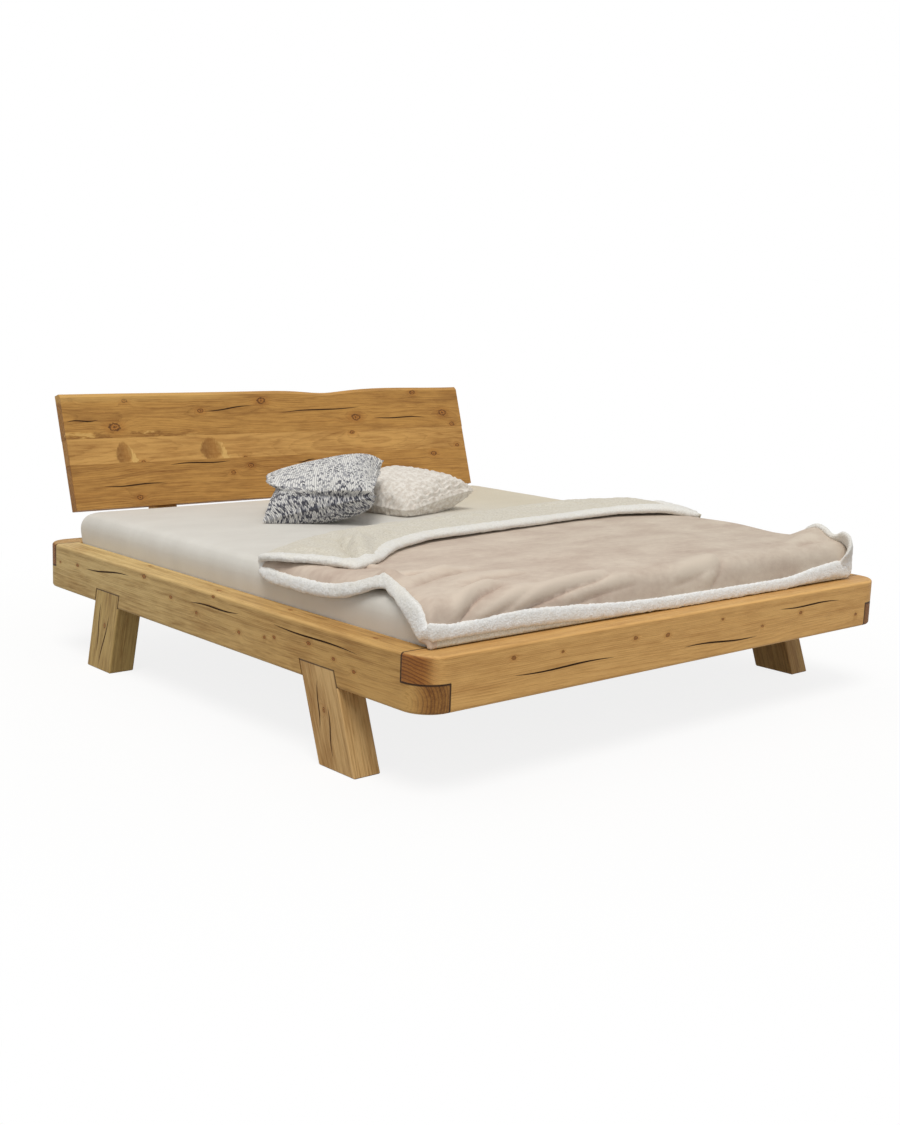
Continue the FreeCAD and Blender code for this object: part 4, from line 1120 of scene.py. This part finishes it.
def flat_side(drop):
    """How far out in the flat cloth the side's drop is reached."""
    return flat_half + float(np.interp(drop, side_curve[:, 1], side_run))


def flat_foot(drop):
    """How far out in the flat cloth the foot end's drop is reached."""
    return flat_half + float(np.interp(drop, foot_curve[:, 1], foot_run))


# the border's outer line in the cloth laid flat, from the fold's left tip round by the notch to the foot
lip_line = [
    (-flat_side(42), -205), (-flat_side(56), -232), (-flat_side(66), -284), (-flat_side(68), -388),
    (-flat_side(67), -477), (-flat_side(65), -542), (-flat_side(57), -615), (-flat_side(40), -687),
    (-flat_side(22), -744), (-flat_side(10), -801),
]
notch_line = [
    (-flat_side(10), -801), (-flat_side(22), -862), (-flat_side(51), -922), (-flat_side(76), -955),
    (-flat_side(104), -974), (-flat_side(122), -990),
]
corner_line = []
corner_facing = []
for k in range(16):
    share = k / 15
    angle = math.radians(4 + 82 * share)
    fall = 123 + 8 * min(1, share * 3)
    side_fall = fall * math.cos(angle) ** (2 / 3)
    foot_fall = fall * math.sin(angle) ** (2 / 3)
    corner_line.append((-flat_side(side_fall), -flat_foot(foot_fall)))
    corner_facing.append((-math.cos(share * math.pi / 2), -math.sin(share * math.pi / 2), 0.0))
hem_line = []
for x in (-985, -860, -655, -396, -141, 146, 506, 630, 796, 900, 975):
    hem_line.append((x, -flat_foot(131)))
hem_line += [(1006, -flat_foot(112)), (1020, -1080)]
right_end_flat = flat_side(92)
left_end_flat = -flat_side(46)
right_line = [
    (1020, -1080), (1016, -1000), (1008, -940), (1008, -880), (1020, -820), (flat_side(60), -720),
    (flat_side(95), -560), (flat_side(98), -300), (right_end_flat, -75),
]
lip_path = smooth_line(lip_line, 10)
notch_path = smooth_line(notch_line, 12)
hem_path = smooth_line(hem_line, 12)
right_path = smooth_line(right_line, 18)
past_fold = [(right_end_flat, 400), (left_end_flat, 400)]
lower_outline = np.concatenate([lip_path, notch_path, corner_line, hem_path, right_path, past_fold])


def inside_outline(x, y, outline):
    """Which places lie inside a closed outline."""
    inside = np.zeros(x.shape, bool)
    for (ax, ay), (bx, by) in zip(outline, np.roll(outline, -1, axis=0)):
        if ay == by:
            continue
        crosses = (ay > y) != (by > y)
        inside ^= crosses & (x < (bx - ax) * (y - ay) / (by - ay) + ax)
    return inside


column = np.arange(-1108, 1112, 8.0)
foot_reach = 1128
lower_rows = 150
nose_rows = 9
upper_rows = 48
column_x = lower_place(column, np.full(column.shape, -500.0))[0]
fold_line = across_bed(column_x, fold_at)
free_line = across_bed(column_x, free_at)
rows = []
flat_rows = []
for j in range(lower_rows):
    share = j / (lower_rows - 1)
    y_flat = -foot_reach + (fold_line - nose_reach + foot_reach) * share
    rows.append(np.stack(lower_place(column, y_flat), axis=1))
    flat_rows.append(y_flat)
start = rows[-1]
end_z = upper_level(column_x, np.zeros(column.shape))
for j in range(1, nose_rows + 1):
    angle = math.pi * j / (nose_rows + 1)
    y = start[:, 1] + nose_reach * math.sin(angle)
    z = start[:, 2] + (end_z - start[:, 2]) * (1 - math.cos(angle)) / 2
    rows.append(np.stack([column_x, y, z], axis=1))
for j in range(upper_rows):
    share = j / (upper_rows - 1)
    y = fold_line - nose_reach + (free_line + 8 - fold_line + nose_reach) * share
    rows.append(np.stack(upper_place(column_x, y), axis=1))
cloth_grid = np.array(rows)
row_count, column_count = cloth_grid.shape[:2]

kept = np.ones((row_count, column_count), bool)
for j in range(lower_rows):
    kept[j] = inside_outline(column, flat_rows[j], lower_outline)
for j in range(lower_rows, row_count):
    if j < lower_rows + nose_rows:
        kept[j] = (column > left_end_flat) & (column < right_end_flat)
    else:
        y = cloth_grid[j, :, 1]
        kept[j] = (column_x > flap_left(y)) & (column < right_end_flat)

down_way = np.gradient(cloth_grid, axis=0)
cross_way = np.gradient(cloth_grid, axis=1)
cloth_normal = np.cross(cross_way, down_way)
cloth_normal /= np.linalg.norm(cloth_normal, axis=2, keepdims=True) + 1e-9


def in_scene(points):
    """Millimetres from the middle of the bed frame as metres in the scene."""
    points = np.asarray(points, float).copy()
    points[..., 1] += frame_shift
    return points / 1000


plush_side = cloth_grid + cloth_normal * throw_thick / 2
fleece_side = cloth_grid - cloth_normal * throw_thick / 2
for skin in (plush_side, fleece_side):
    skin[:lower_rows, :, 2] = np.maximum(skin[:lower_rows, :, 2], plush_floor)
for j in range(lower_rows, row_count):
    for i in range(column_count):
        if not kept[j, i]:
            continue
        x, y, z = cloth_grid[j, i]
        curl = noise.noise(Vector((x / 13, y / 13, z / 13)))
        curl += 0.6 * noise.noise(Vector((x / 6, y / 6, z / 6 + 5)))
        pillow = noise.noise(Vector((x / 70, y / 60, 3.0)))
        fleece_side[j, i] -= cloth_normal[j, i] * (curl * 1.9 + pillow * 2.5)
throw_points = []
place_of = {}
for skin_name, skin in (("plush", plush_side), ("fleece", fleece_side)):
    scene_skin = in_scene(skin)
    for j in range(row_count - 1):
        for i in range(column_count - 1):
            if kept[j : j + 2, i : i + 2].all():
                for corner in ((j, i), (j + 1, i), (j, i + 1), (j + 1, i + 1)):
                    if (skin_name, *corner) not in place_of:
                        place_of[(skin_name, *corner)] = len(throw_points)
                        throw_points.append(scene_skin[corner])
throw_faces = []
face_finish = []
hem_limit = np.interp(column, *zip(*hem_line))
edges_used = {}
for j in range(row_count - 1):
    for i in range(column_count - 1):
        if not kept[j : j + 2, i : i + 2].all():
            continue
        corners = ((j, i), (j, i + 1), (j + 1, i + 1), (j + 1, i))
        throw_faces.append([place_of[("plush", *corner)] for corner in corners])
        at_hem = j < lower_rows - 1 and abs(column[i]) < 1010 and flat_rows[j + 1][i] < hem_limit[i] + 34
        face_finish.append(1 if at_hem else 0)
        throw_faces.append([place_of[("fleece", *corner)] for corner in reversed(corners)])
        face_finish.append(1)
        edges_used.update(dict.fromkeys(zip(corners, corners[1:] + corners[:1])))
for a, b in edges_used:
    if (b, a) not in edges_used:
        rim = (("plush", *b), ("plush", *a), ("fleece", *a), ("fleece", *b))
        throw_faces.append([place_of[corner] for corner in rim])
        face_finish.append(1)
throw = new_piece("throw_blanket", throw_points, throw_faces)
throw.data.polygons.foreach_set("material_index", face_finish)
# crease heights kept as the 'lie' attribute: painted shade in the plush's crease valleys, painted light on
# their ridges
crease_shade_grid = np.zeros((row_count, column_count))
for j in range(lower_rows):
    crease_shade_grid[j] = creased(column, flat_rows[j], plush_creases)
lie = throw.data.attributes.new("lie", "FLOAT", "POINT")
crease_shade_values = np.zeros(len(throw.data.vertices))
for (skin_name, j, i), index in place_of.items():
    crease_shade_values[index] = 0.5 + crease_shade_grid[j, i] / 46
lie.data.foreach_set("value", crease_shade_values)

# the border: a thick flattened roll of fleece that follows the cloth's whole edge


def surface_line(path, part):
    """A line on the cloth as places and the way that its plush side faces."""
    path = np.asarray(path, float)
    x, y = path[:, 0], path[:, 1]
    here = np.stack(part(x, y), axis=1)
    right = np.stack(part(x + 4, y), axis=1)
    headward = np.stack(part(x, y + 4), axis=1)
    facing = np.cross(right - here, headward - here)
    facing /= np.linalg.norm(facing, axis=1, keepdims=True)
    return here, facing


def nose_line(side_column, upward):
    """The cloth's edge round the fold at one side of the bed."""
    x = float(lower_place(np.array([side_column]), np.array([-500.0]))[0][0])
    fold = float(across_bed(x, fold_at)) - nose_reach
    low_z = float(lower_place(np.array([side_column]), np.array([fold]))[2][0])
    high_z = float(upper_level(np.array([x]), np.array([0.0]))[0])
    places = []
    facings = []
    for k in range(1, 8):
        angle = math.pi * k / 8
        z = low_z + (high_z - low_z) * (1 - math.cos(angle)) / 2
        places.append((x, fold + nose_reach * math.sin(angle), z))
        facings.append((0, -math.sin(angle), math.cos(angle)))
    if not upward:
        places.reverse()
        facings.reverse()
    return np.array(places), np.array(facings)


free_columns = np.arange(-909, 1000, 12.0)
free_path = np.stack([free_columns, across_bed(free_columns, free_at)], axis=1)
right_end = float(lower_place(np.array([right_end_flat]), np.array([-500.0]))[0][0])
right_back = np.array([(right_end, float(across_bed(right_end, fold_at)) - 15 - k * 25) for k in range(11)])
corner_places = surface_line(corner_line, lower_place)[0]
pieces_of_line = [
    surface_line(lip_path, lower_place), surface_line(notch_path[1:], lower_place),
    (corner_places, np.array(corner_facing)), surface_line(hem_path[1:], lower_place),
    surface_line(right_path[1:], lower_place), nose_line(right_end_flat, True),
]
for path in (right_back, free_path[::-1], flap_path[::-1]):
    places, facing = surface_line(path, upper_place)
    pieces_of_line.append((places, -facing))
pieces_of_line.append(nose_line(left_end_flat, False))
line_places = np.concatenate([part[0] for part in pieces_of_line])
line_facing = np.concatenate([part[1] for part in pieces_of_line])


def even_loop(places, facing, step):
    """The closed line in even steps, its corners a little rounded."""
    closed = np.concatenate([places, places[:1]])
    lengths = np.concatenate([[0], np.cumsum(np.linalg.norm(np.diff(closed, axis=0), axis=1))])
    count = int(lengths[-1] / step)
    at = np.linspace(0, lengths[-1], count, endpoint=False)
    closed_facing = np.concatenate([facing, facing[:1]])
    even_places = np.stack([np.interp(at, lengths, closed[:, k]) for k in range(3)], axis=1)
    even_facing = np.stack([np.interp(at, lengths, closed_facing[:, k]) for k in range(3)], axis=1)
    return even_places, even_facing


def soften(values, times):
    """Evens out values round the closed line."""
    for _ in range(times):
        values = (np.roll(values, 1, axis=0) + values * 2 + np.roll(values, -1, axis=0)) / 4
    return values


loop, loop_facing = even_loop(line_places, line_facing, 5.0)
loop_count = len(loop)
at_tip = np.exp(-((np.linalg.norm(loop - np.array([-1020, -212, 520]), axis=1) / 60) ** 4))
loop += (soften(loop, 24) - loop) * at_tip[:, None]
on_flap = soften((loop_facing[:, 2] < 0).astype(float)[:, None], 10)[:, 0]
loop_facing = soften(loop_facing, 14)
heading = soften(np.roll(loop, -1, axis=0) - np.roll(loop, 1, axis=0), 4)
heading /= np.linalg.norm(heading, axis=1, keepdims=True)
loop_facing -= heading * np.sum(loop_facing * heading, axis=1, keepdims=True)
loop_facing /= np.linalg.norm(loop_facing, axis=1, keepdims=True)
inward = np.cross(loop_facing, heading)
is_hem = np.clip((-960 - loop[:, 1]) / 60, 0, 1)
near_notch = np.exp(-(((loop[:, 1] + 965) / 62) ** 2)) * (loop[:, 0] < -950) * (1 - is_hem)
near_peak = np.exp(-((np.hypot(loop[:, 0] + 998, loop[:, 1] + 803) / 60) ** 2)) * (1 - on_flap)
near_tip = np.exp(-((np.hypot(loop[:, 1] + 215, loop[:, 2] - 520) / 50) ** 4)) * (loop[:, 0] < -1000)
near_right = np.exp(-(((loop[:, 1] + 1000) / 60) ** 2)) * (loop[:, 0] > 975)
hem_at = np.interp(loop[:, 0], [-1010, -880, -700, -450, -200, 600, 780, 950], [-2, 0, 9, 7, 0, -2, 10, 20])
flap_end = on_flap * np.clip((loop[:, 0] - 600) / 300, 0, 1)
border_wide = 42 + hem_at * is_hem + 8 * on_flap + 24 * near_notch + 26 * near_right
border_wide = border_wide - 4 * near_peak - 16 * near_tip + 16 * flap_end
border_wide = soften(border_wide[:, None], 6)[:, 0]
strip_at = np.interp(loop[:, 0], [-1010, -655, -300, 0, 600, 800, 900, 1000], [28, 26, 12, 6, 6, 16, 18, 8])
set_in = 4 - strip_at * is_hem
outer_edge = loop - inward * set_in[:, None]
inner_edge = outer_edge + inward * border_wide[:, None]

# at its sharp corners the border is mitred: both bands end on one line from the outer to the inner corner
for corner_at, inner_at, reach in (
    ((-998, -803, 531), (-974, -774, 574), 10), ((-921, -570, 560), (-896, -500, 566), 14),
    ((-1019, -1027, 410), (-1024, -1031, 486), 12),
):
    middle = int(np.argmin(np.linalg.norm(loop - np.array(corner_at), axis=1)))
    inner_at = np.array(inner_at, float)
    for way in (-1, 1):
        end = inner_edge[(middle + way * reach) % loop_count].copy()
        for k in range(reach):
            inner_edge[(middle + way * k) % loop_count] = inner_at + (end - inner_at) * k / reach
band_way = inner_edge - outer_edge
band_wide = np.linalg.norm(band_way, axis=1)
band_way /= band_wide[:, None]
section = 22
border_points = []
for j in range(loop_count):
    x, y, z = loop[j]
    puff = noise.noise(Vector((x / 60, y / 60, z / 60)))
    tall = 26 - 4 * is_hem[j] - 2 * on_flap[j] - 7 * near_peak[j] + 5 * flap_end[j] + puff * 3
    centre = (outer_edge[j] + inner_edge[j]) / 2
    for k in range(section):
        angle = 2 * math.pi * k / section
        c, s = math.cos(angle), math.sin(angle)
        reach = math.copysign(abs(c) ** 0.8, c) * (band_wide[j] + puff * 4) / 2
        thick = math.copysign(abs(s) ** 0.8, s) * tall / 2
        spot = centre + band_way[j] * reach + loop_facing[j] * (thick + 4 - 4 * on_flap[j])
        out_way = band_way[j] * c + loop_facing[j] * s
        curl = noise.noise(Vector(spot / 12)) + 0.7 * noise.noise(Vector(spot / 6 + 7))
        border_points.append(spot + out_way * curl * 2.0)
border_points = np.array(border_points)
border_points[:, 2] = np.maximum(border_points[:, 2], border_floor)
border_faces = []
for face in ring_faces(loop_count + 1, section):
    border_faces.append([corner % (loop_count * section) for corner in reversed(face)])
border = new_piece("throw_border", in_scene(border_points), border_faces)

plush = Finish(
    "taupe_plush", Roughness=0.85, Sheen_Weight=0.35, Sheen_Roughness=0.45, Sheen_Tint=paint(236, 222, 206)
)
plush_place = plush.place()
nap = plush.cloud(plush_place * (5, 9, 7), detail=4, rough=0.55)
brush = plush.cloud(plush_place * (30, 52, 40), detail=3, rough=0.6)
pile = plush.cloud(plush_place * (900, 900, 900), detail=1)
lies = plush.node("ShaderNodeAttribute", {"attribute_name": "lie"}, out="Fac")
rightward = plush.rise(plush.parts(plush_place)[0], -0.9, 0.9)
# lies: painted shade in the crease valleys and painted light on their ridges
plush_tone = (nap - 0.5) * 1.7 + (brush - 0.5) * 0.8 + (lies - 0.5) * 2.3 + 0.62 - rightward * 0.02
plush_colour = plush.mix(plush_tone.held(), paint(182, 160, 145), paint(216, 201, 185))
plush.feed("Base Color", plush.mix(rightward * 0.6, plush_colour, (0.93, 0.97, 0.96, 1), "MULTIPLY"))
plush.relief(brush * 1.0 + pile * 0.35, 0.0016, 0.6)


def curly_fleece(name, hollow, crown, warm):
    """Curly fleece pile: small round tufts with painted shade in the gaps between them, and a few warmer
    flattened places.
    """
    finish = Finish(name, Roughness=0.95, Sheen_Weight=0.2)
    spot = finish.place()
    settings = {"feature": "SMOOTH_F1"}
    curls = finish.node("ShaderNodeTexVoronoi", settings, {"Vector": spot, "Scale": 165.0, "Smoothness": 0.8})
    curl_cloud = finish.cloud(spot * (300, 300, 300), detail=3, rough=0.6)
    tuft = finish.cloud(spot * (24, 24, 24), detail=3)
    height = (1 - curls) * 0.7 + curl_cloud * 0.5
    # painted shade: the low gaps between the tufts are darker
    colour = finish.mix(finish.rise(height, 0.35, 0.85), paint(*hollow), paint(*crown))
    finish.colour = finish.mix(finish.rise(tuft, 0.42, 0.66) * 0.4, colour, paint(*warm))
    finish.feed("Base Color", finish.colour)
    finish.relief(height, 0.0035, 0.7)
    return finish


fleece = curly_fleece("cream_fleece", (202, 195, 180), (224, 219, 206), (210, 202, 182))
border_fleece = curly_fleece("border_fleece", (238, 238, 236), (252, 253, 254), (246, 244, 238))
# painted shade: the border is darkened and warmed where it lies on top of the bed, so the hem hangs whiter
on_top = border_fleece.rise(border_fleece.parts(border_fleece.place())[2], 0.450, 0.560) * 0.8
border_colour = border_fleece.mix(on_top, border_fleece.colour, (0.84, 0.815, 0.765, 1), "MULTIPLY")
border_fleece.feed("Base Color", border_colour)
dress(throw, plush, fleece)
dress(border, border_fleece)
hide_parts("throw")
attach(throw, "throw")
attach(border, "throw")


# White cushion
# A square cushion in long white plush sewn in wavy ruffled rows; it lies flat on the sheet.

cushion_side = 0.450
cushion_levels = (
    (0.00, 1.00, 0.930), (0.15, 0.95, 0.925), (0.36, 0.87, 0.905), (0.58, 0.76, 0.850),
    (0.78, 0.61, 0.720), (0.93, 0.40, 0.500), (1.00, 0.17, 0.230),
)
cushion_floor = mattress_top + 0.0006
cushion_slack = 0.93
cushion_voxel = 0.0055
swell_cap = 0.016
white_thick = 0.145
ruffle_pitch = 0.026


def cushion_shell(name, thickness, soft_corner):
    """A crowned closed cushion about the origin: full in its middle, drawn in to a thin seam all round."""
    half_levels = smooth_line(cushion_levels, 3)
    levels = [(-h, c, m) for h, c, m in half_levels[:0:-1]] + [tuple(level) for level in half_levels]
    points = []
    per_side = 30
    for height, corner, middle in levels:
        z = height * thickness / 2 * cushion_slack
        c = corner * cushion_side / 2 * 0.985
        m = middle * cushion_side / 2 * 0.985
        for quarter in range(4):
            spin = quarter * math.pi / 2
            for k in range(per_side):
                t = -1 + 2 * k / per_side
                x = m + (c - m) * t * t
                y = c * t
                turned_x = x * math.cos(spin) - y * math.sin(spin)
                turned_y = x * math.sin(spin) + y * math.cos(spin)
                cornerness = min(1.0, abs(turned_x * turned_y) / (cushion_side / 2) ** 2)
                cornerness *= min(1.0, max(0.0, -(turned_x + turned_y) / 0.3))
                pull = 1 - soft_corner * cornerness**3
                points.append((turned_x * pull, turned_y * pull, z))
    return new_piece(name, points, ring_faces(len(levels), 4 * per_side, closed=True))


def sewn_edge(points, normals, lip, depth):
    """The seam round a cushion: the two covers meet in a narrow lip with a shallow valley on each side."""
    outward = points.copy()
    outward[:, 2] = 0
    outward /= np.linalg.norm(outward, axis=1, keepdims=True) + 1e-9
    near_edge = np.clip(1.25 - np.abs(normals[:, 2]) * 1.6, 0, 1)
    z = np.abs(points[:, 2])
    out = lip * np.exp(-((z / 0.0055) ** 2)) - depth * np.exp(-(((z - 0.018) / 0.011) ** 2))
    return points + outward * (out * near_edge)[:, None]


def apply_modifiers(piece):
    """Makes what the modifiers give the piece's own mesh."""
    shown_piece = piece.evaluated_get(bpy.context.evaluated_depsgraph_get())
    made = bpy.data.meshes.new_from_object(shown_piece)
    piece.modifiers.clear()
    worn_out = piece.data
    piece.data = made
    bpy.data.meshes.remove(worn_out)
    piece.data.name = piece.name


def piece_values(piece, kind="co"):
    """The place of each of a piece's points, or the way it faces."""
    values = np.empty(len(piece.data.vertices) * 3)
    piece.data.vertices.foreach_get(kind, values)
    return values.reshape(-1, 3)


def move_points(piece, points):
    """Gives each of a piece's points a new place."""
    piece.data.vertices.foreach_set("co", points.ravel())
    piece.data.update()


def settle(piece):
    """Fills the cushion: its cloth swells under the stuffing's pressure, with each point's way capped."""
    remesh = piece.modifiers.new("remesh", "REMESH")
    remesh.mode = "VOXEL"
    remesh.voxel_size = cushion_voxel
    apply_modifiers(piece)
    before = piece_values(piece)
    swell = piece.modifiers.new("swell", "CLOTH")
    swell.settings.quality = 5
    swell.settings.mass = 0.3
    swell.settings.tension_stiffness = 12
    swell.settings.compression_stiffness = 12
    swell.settings.shear_stiffness = 6
    swell.settings.bending_stiffness = 0.4
    swell.settings.use_pressure = True
    swell.settings.uniform_pressure_force = 4
    swell.settings.effector_weights.gravity = 0
    for step in range(1, 21):
        bpy.context.scene.frame_set(step)
    apply_modifiers(piece)
    way = piece_values(piece) - before
    far_way = np.linalg.norm(way, axis=1, keepdims=True)
    way *= np.minimum(1, swell_cap / np.maximum(far_way, 1e-9))
    move_points(piece, before + way)
    bpy.context.scene.frame_set(1)
    refine = piece.modifiers.new("refine", "SUBSURF")
    refine.levels = 1
    apply_modifiers(piece)


def lay_cushion(piece, turns, across, along, height):
    """Tilts a cushion about its own ways, carries it to its place and rests it on the sheet."""
    turn_all = Matrix.Identity(4)
    for axis, degrees in zip("XYZ", turns):
        turn_all = Matrix.Rotation(math.radians(degrees), 4, axis) @ turn_all
    place = Vector((across, along + frame_middle, mattress_top + height))
    piece.data.transform(Matrix.Translation(place) @ turn_all)
    piece.data.polygons.foreach_set("use_smooth", [True] * len(piece.data.polygons))
    points = piece_values(piece)
    points[:, 2] = np.maximum(points[:, 2], cushion_floor)
    move_points(piece, points)


def cover_places(points, thickness):
    """Places on the cover as it was sewn flat: the sides unroll outwards from the middle."""
    reach = np.maximum(np.hypot(points[:, 0], points[:, 1]), 0.02)
    spread = 1 + 0.9 * np.clip(thickness / 2 - np.abs(points[:, 2]), 0, None) / reach
    return points[:, 0] * spread, points[:, 1] * spread


white = cushion_shell("ruffled_cushion", white_thick, 0.17)
settle(white)
points = piece_values(white)
normals = piece_values(white, "normal")
u, v = cover_places(points, white_thick)
sway = 0.0045 * np.sin(u / 0.0115 + 1.7 * np.sin(v / 0.05)) + 0.004 * np.sin(u / 0.040 + v / 0.05)
row_number, row_phase = np.divmod((v + sway) / ruffle_pitch, 1.0)
fall = np.where(row_phase < 0.8, row_phase / 0.8, (1 - row_phase) / 0.2)
petal = 0.72 + 0.28 * np.sin(u / 0.0115 + 2.1 * row_number)
edge_share = np.maximum(np.abs(points[:, 0]), np.abs(points[:, 1])) / (cushion_side / 2)
edge_fade = np.clip((0.97 - edge_share) * 12, 0.25, 1)
points = points + normals * (fall**1.3 * petal * 0.0056 * edge_fade)[:, None]
move_points(white, sewn_edge(points, normals, 0.004, 0.002))
lay_cushion(white, (2.0, -7.4, 12.0), 0.115, 0.480, 0.059)
white_plush = Finish("ruffled_plush", Roughness=0.9, Sheen_Weight=0.3)
tuft_place = white_plush.place()
hair = white_plush.cloud(tuft_place * (420, 420, 420), detail=2)
tufts = white_plush.cloud(tuft_place * (60, 60, 60), detail=3, rough=0.6)
plush_white = white_plush.mix(white_plush.rise(tufts, 0.36, 0.64), paint(214, 205, 194), paint(236, 231, 223))
white_plush.feed("Base Color", plush_white)
white_plush.relief(hair * 0.5 + tufts, 0.003, 0.7)
dress(white, white_plush)
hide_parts("white_cushion")
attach(white, "white_cushion")


# Grey cushion
# A square cushion in a chunky knit of light and dark grey yarn; it leans with one side on the white one.

grey_thick = 0.165
stitch_wide = 0.0150
stitch_tall = 0.0105
leans_back = np.array([-0.743, 0.669])
clearance = 0.0008


def stitches(u, v):
    """The column and the stitch of the knit at a place on the cover, as running numbers."""
    column_at = u / stitch_wide
    return column_at, v / stitch_tall + abs(column_at % 1.0 - 0.5) * 1.5


def over_fold(x, z):
    """How far a place is above the fold where the cushion's upper part hangs over its lower."""
    return z - 0.640 - (x + 0.60) * 0.07


grey = cushion_shell("knitted_cushion", grey_thick, 0.03)
settle(grey)
points = piece_values(grey)
normals = piece_values(grey, "normal")
u, v = cover_places(points, grey_thick)
sewn = grey.data.attributes.new("sewn_place", "FLOAT_VECTOR", "POINT")
sewn.data.foreach_set("vector", np.stack([u, v, points[:, 2]], axis=1).ravel())
column_at, stitch_at = stitches(u, v)
strand_round = np.sin(np.pi * ((column_at % 1.0 * 2) % 1.0)) ** 0.7
knit_height = strand_round * (0.45 + 0.55 * np.sin(np.pi * (stitch_at % 1.0)) ** 0.8)
points = points + normals * (knit_height * 0.0030)[:, None]
move_points(grey, sewn_edge(points, normals, 0.003, 0.002))
lay_cushion(grey, (12.0, -15.0, -45.0), -0.310, 0.410, 0.104)
points = piece_values(grey)
normals = piece_values(grey, "normal")
above_fold = over_fold(points[:, 0], points[:, 2])
away = points - points.mean(axis=0)
away[:, 2] = 0
away /= np.linalg.norm(away, axis=1, keepdims=True) + 1e-9
slump = 0.010 * np.exp(-(((above_fold - 0.009) / 0.010) ** 2))
slump = slump - 0.013 * np.exp(-(((above_fold + 0.011) / 0.011) ** 2))
points += away * (slump * np.clip(1.2 - np.abs(normals[:, 2]) * 1.4, 0, 1))[:, None]
headward = points[:, 0] * leans_back[0] + points[:, 1] * leans_back[1]
headward = np.clip((headward - headward.mean()) / (headward.max() - headward.mean()), 0, 1)
overhang = np.clip(above_fold / 0.014, 0, 1) * np.clip((0.115 - above_fold) / 0.10, 0, 1)
points[:, :2] += (0.056 * headward**1.3 * overhang)[:, None] * leans_back
move_points(grey, points)
white_tree = BVHTree.FromObject(white, bpy.context.evaluated_depsgraph_get())
points = piece_values(grey)
for index, point in enumerate(points):
    near, facing, _, _ = white_tree.find_nearest(Vector(point), 0.08)
    if near is None:
        continue
    off = Vector(point) - near
    if off.dot(facing) < clearance and off.length < 0.06:
        points[index] = near + facing * clearance
points[:, 2] = np.maximum(points[:, 2], cushion_floor)
move_points(grey, points)
grey_knit = Finish("grey_knit", Roughness=0.9, Sheen_Weight=0.2)
sewn_at = grey_knit.node("ShaderNodeAttribute", {"attribute_name": "sewn_place"}, out="Vector")
wide_way, tall_way, _ = grey_knit.parts(sewn_at)
column_at, stitch_at = stitches(wide_way, tall_way)
stitch_number = grey_knit.join((column_at * 2).sum("FLOOR"), stitch_at.sum("FLOOR"), 0.0)
lot = grey_knit.node("ShaderNodeTexWhiteNoise", {"noise_dimensions": "3D"}, (stitch_number,))
strand_turn = (column_at % 1.0 * 2 % 1.0 * math.pi).sum("SINE")
stitch_turn = (stitch_at % 1.0 * math.pi).sum("SINE")
knit_relief = strand_turn * (stitch_turn * 0.55 + 0.45)
melange = grey_knit.cloud(grey_knit.place() * (330, 330, 330), detail=2)
lean_x, _, lean_z = grey_knit.parts(grey_knit.place())
# below the fold the knit gets denser dark specks and painted shade under the overhanging upper part
specks_and_shade_below_fold = 1 - grey_knit.rise(over_fold(lean_x, lean_z), -0.008, 0.004)
darkness = lot + (melange - 0.5) * 0.35 + specks_and_shade_below_fold * 0.20 - 0.09
knit_colour = grey_knit.mix(grey_knit.rise(darkness, 0.50, 0.62), paint(230, 229, 226), paint(168, 168, 172))
knit_colour = grey_knit.mix(grey_knit.rise(darkness, 0.80, 0.86), knit_colour, paint(74, 75, 86))
# painted shade in the hollows between the knit's strands
between = (1 - grey_knit.rise(knit_relief, 0.05, 0.5)) * 0.65
knit_colour = grey_knit.mix(between, knit_colour, paint(88, 90, 98))
knit_colour = grey_knit.mix(specks_and_shade_below_fold * 0.5, knit_colour, (0.82, 0.82, 0.84, 1), "MULTIPLY")
grey_knit.feed("Base Color", knit_colour)
grey_knit.relief(knit_relief + melange * 0.3, 0.002, 0.6)
dress(grey, grey_knit)
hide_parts("grey_cushion")
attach(grey, "grey_cushion")

bpy.context.scene.view_settings.view_transform = "Standard"
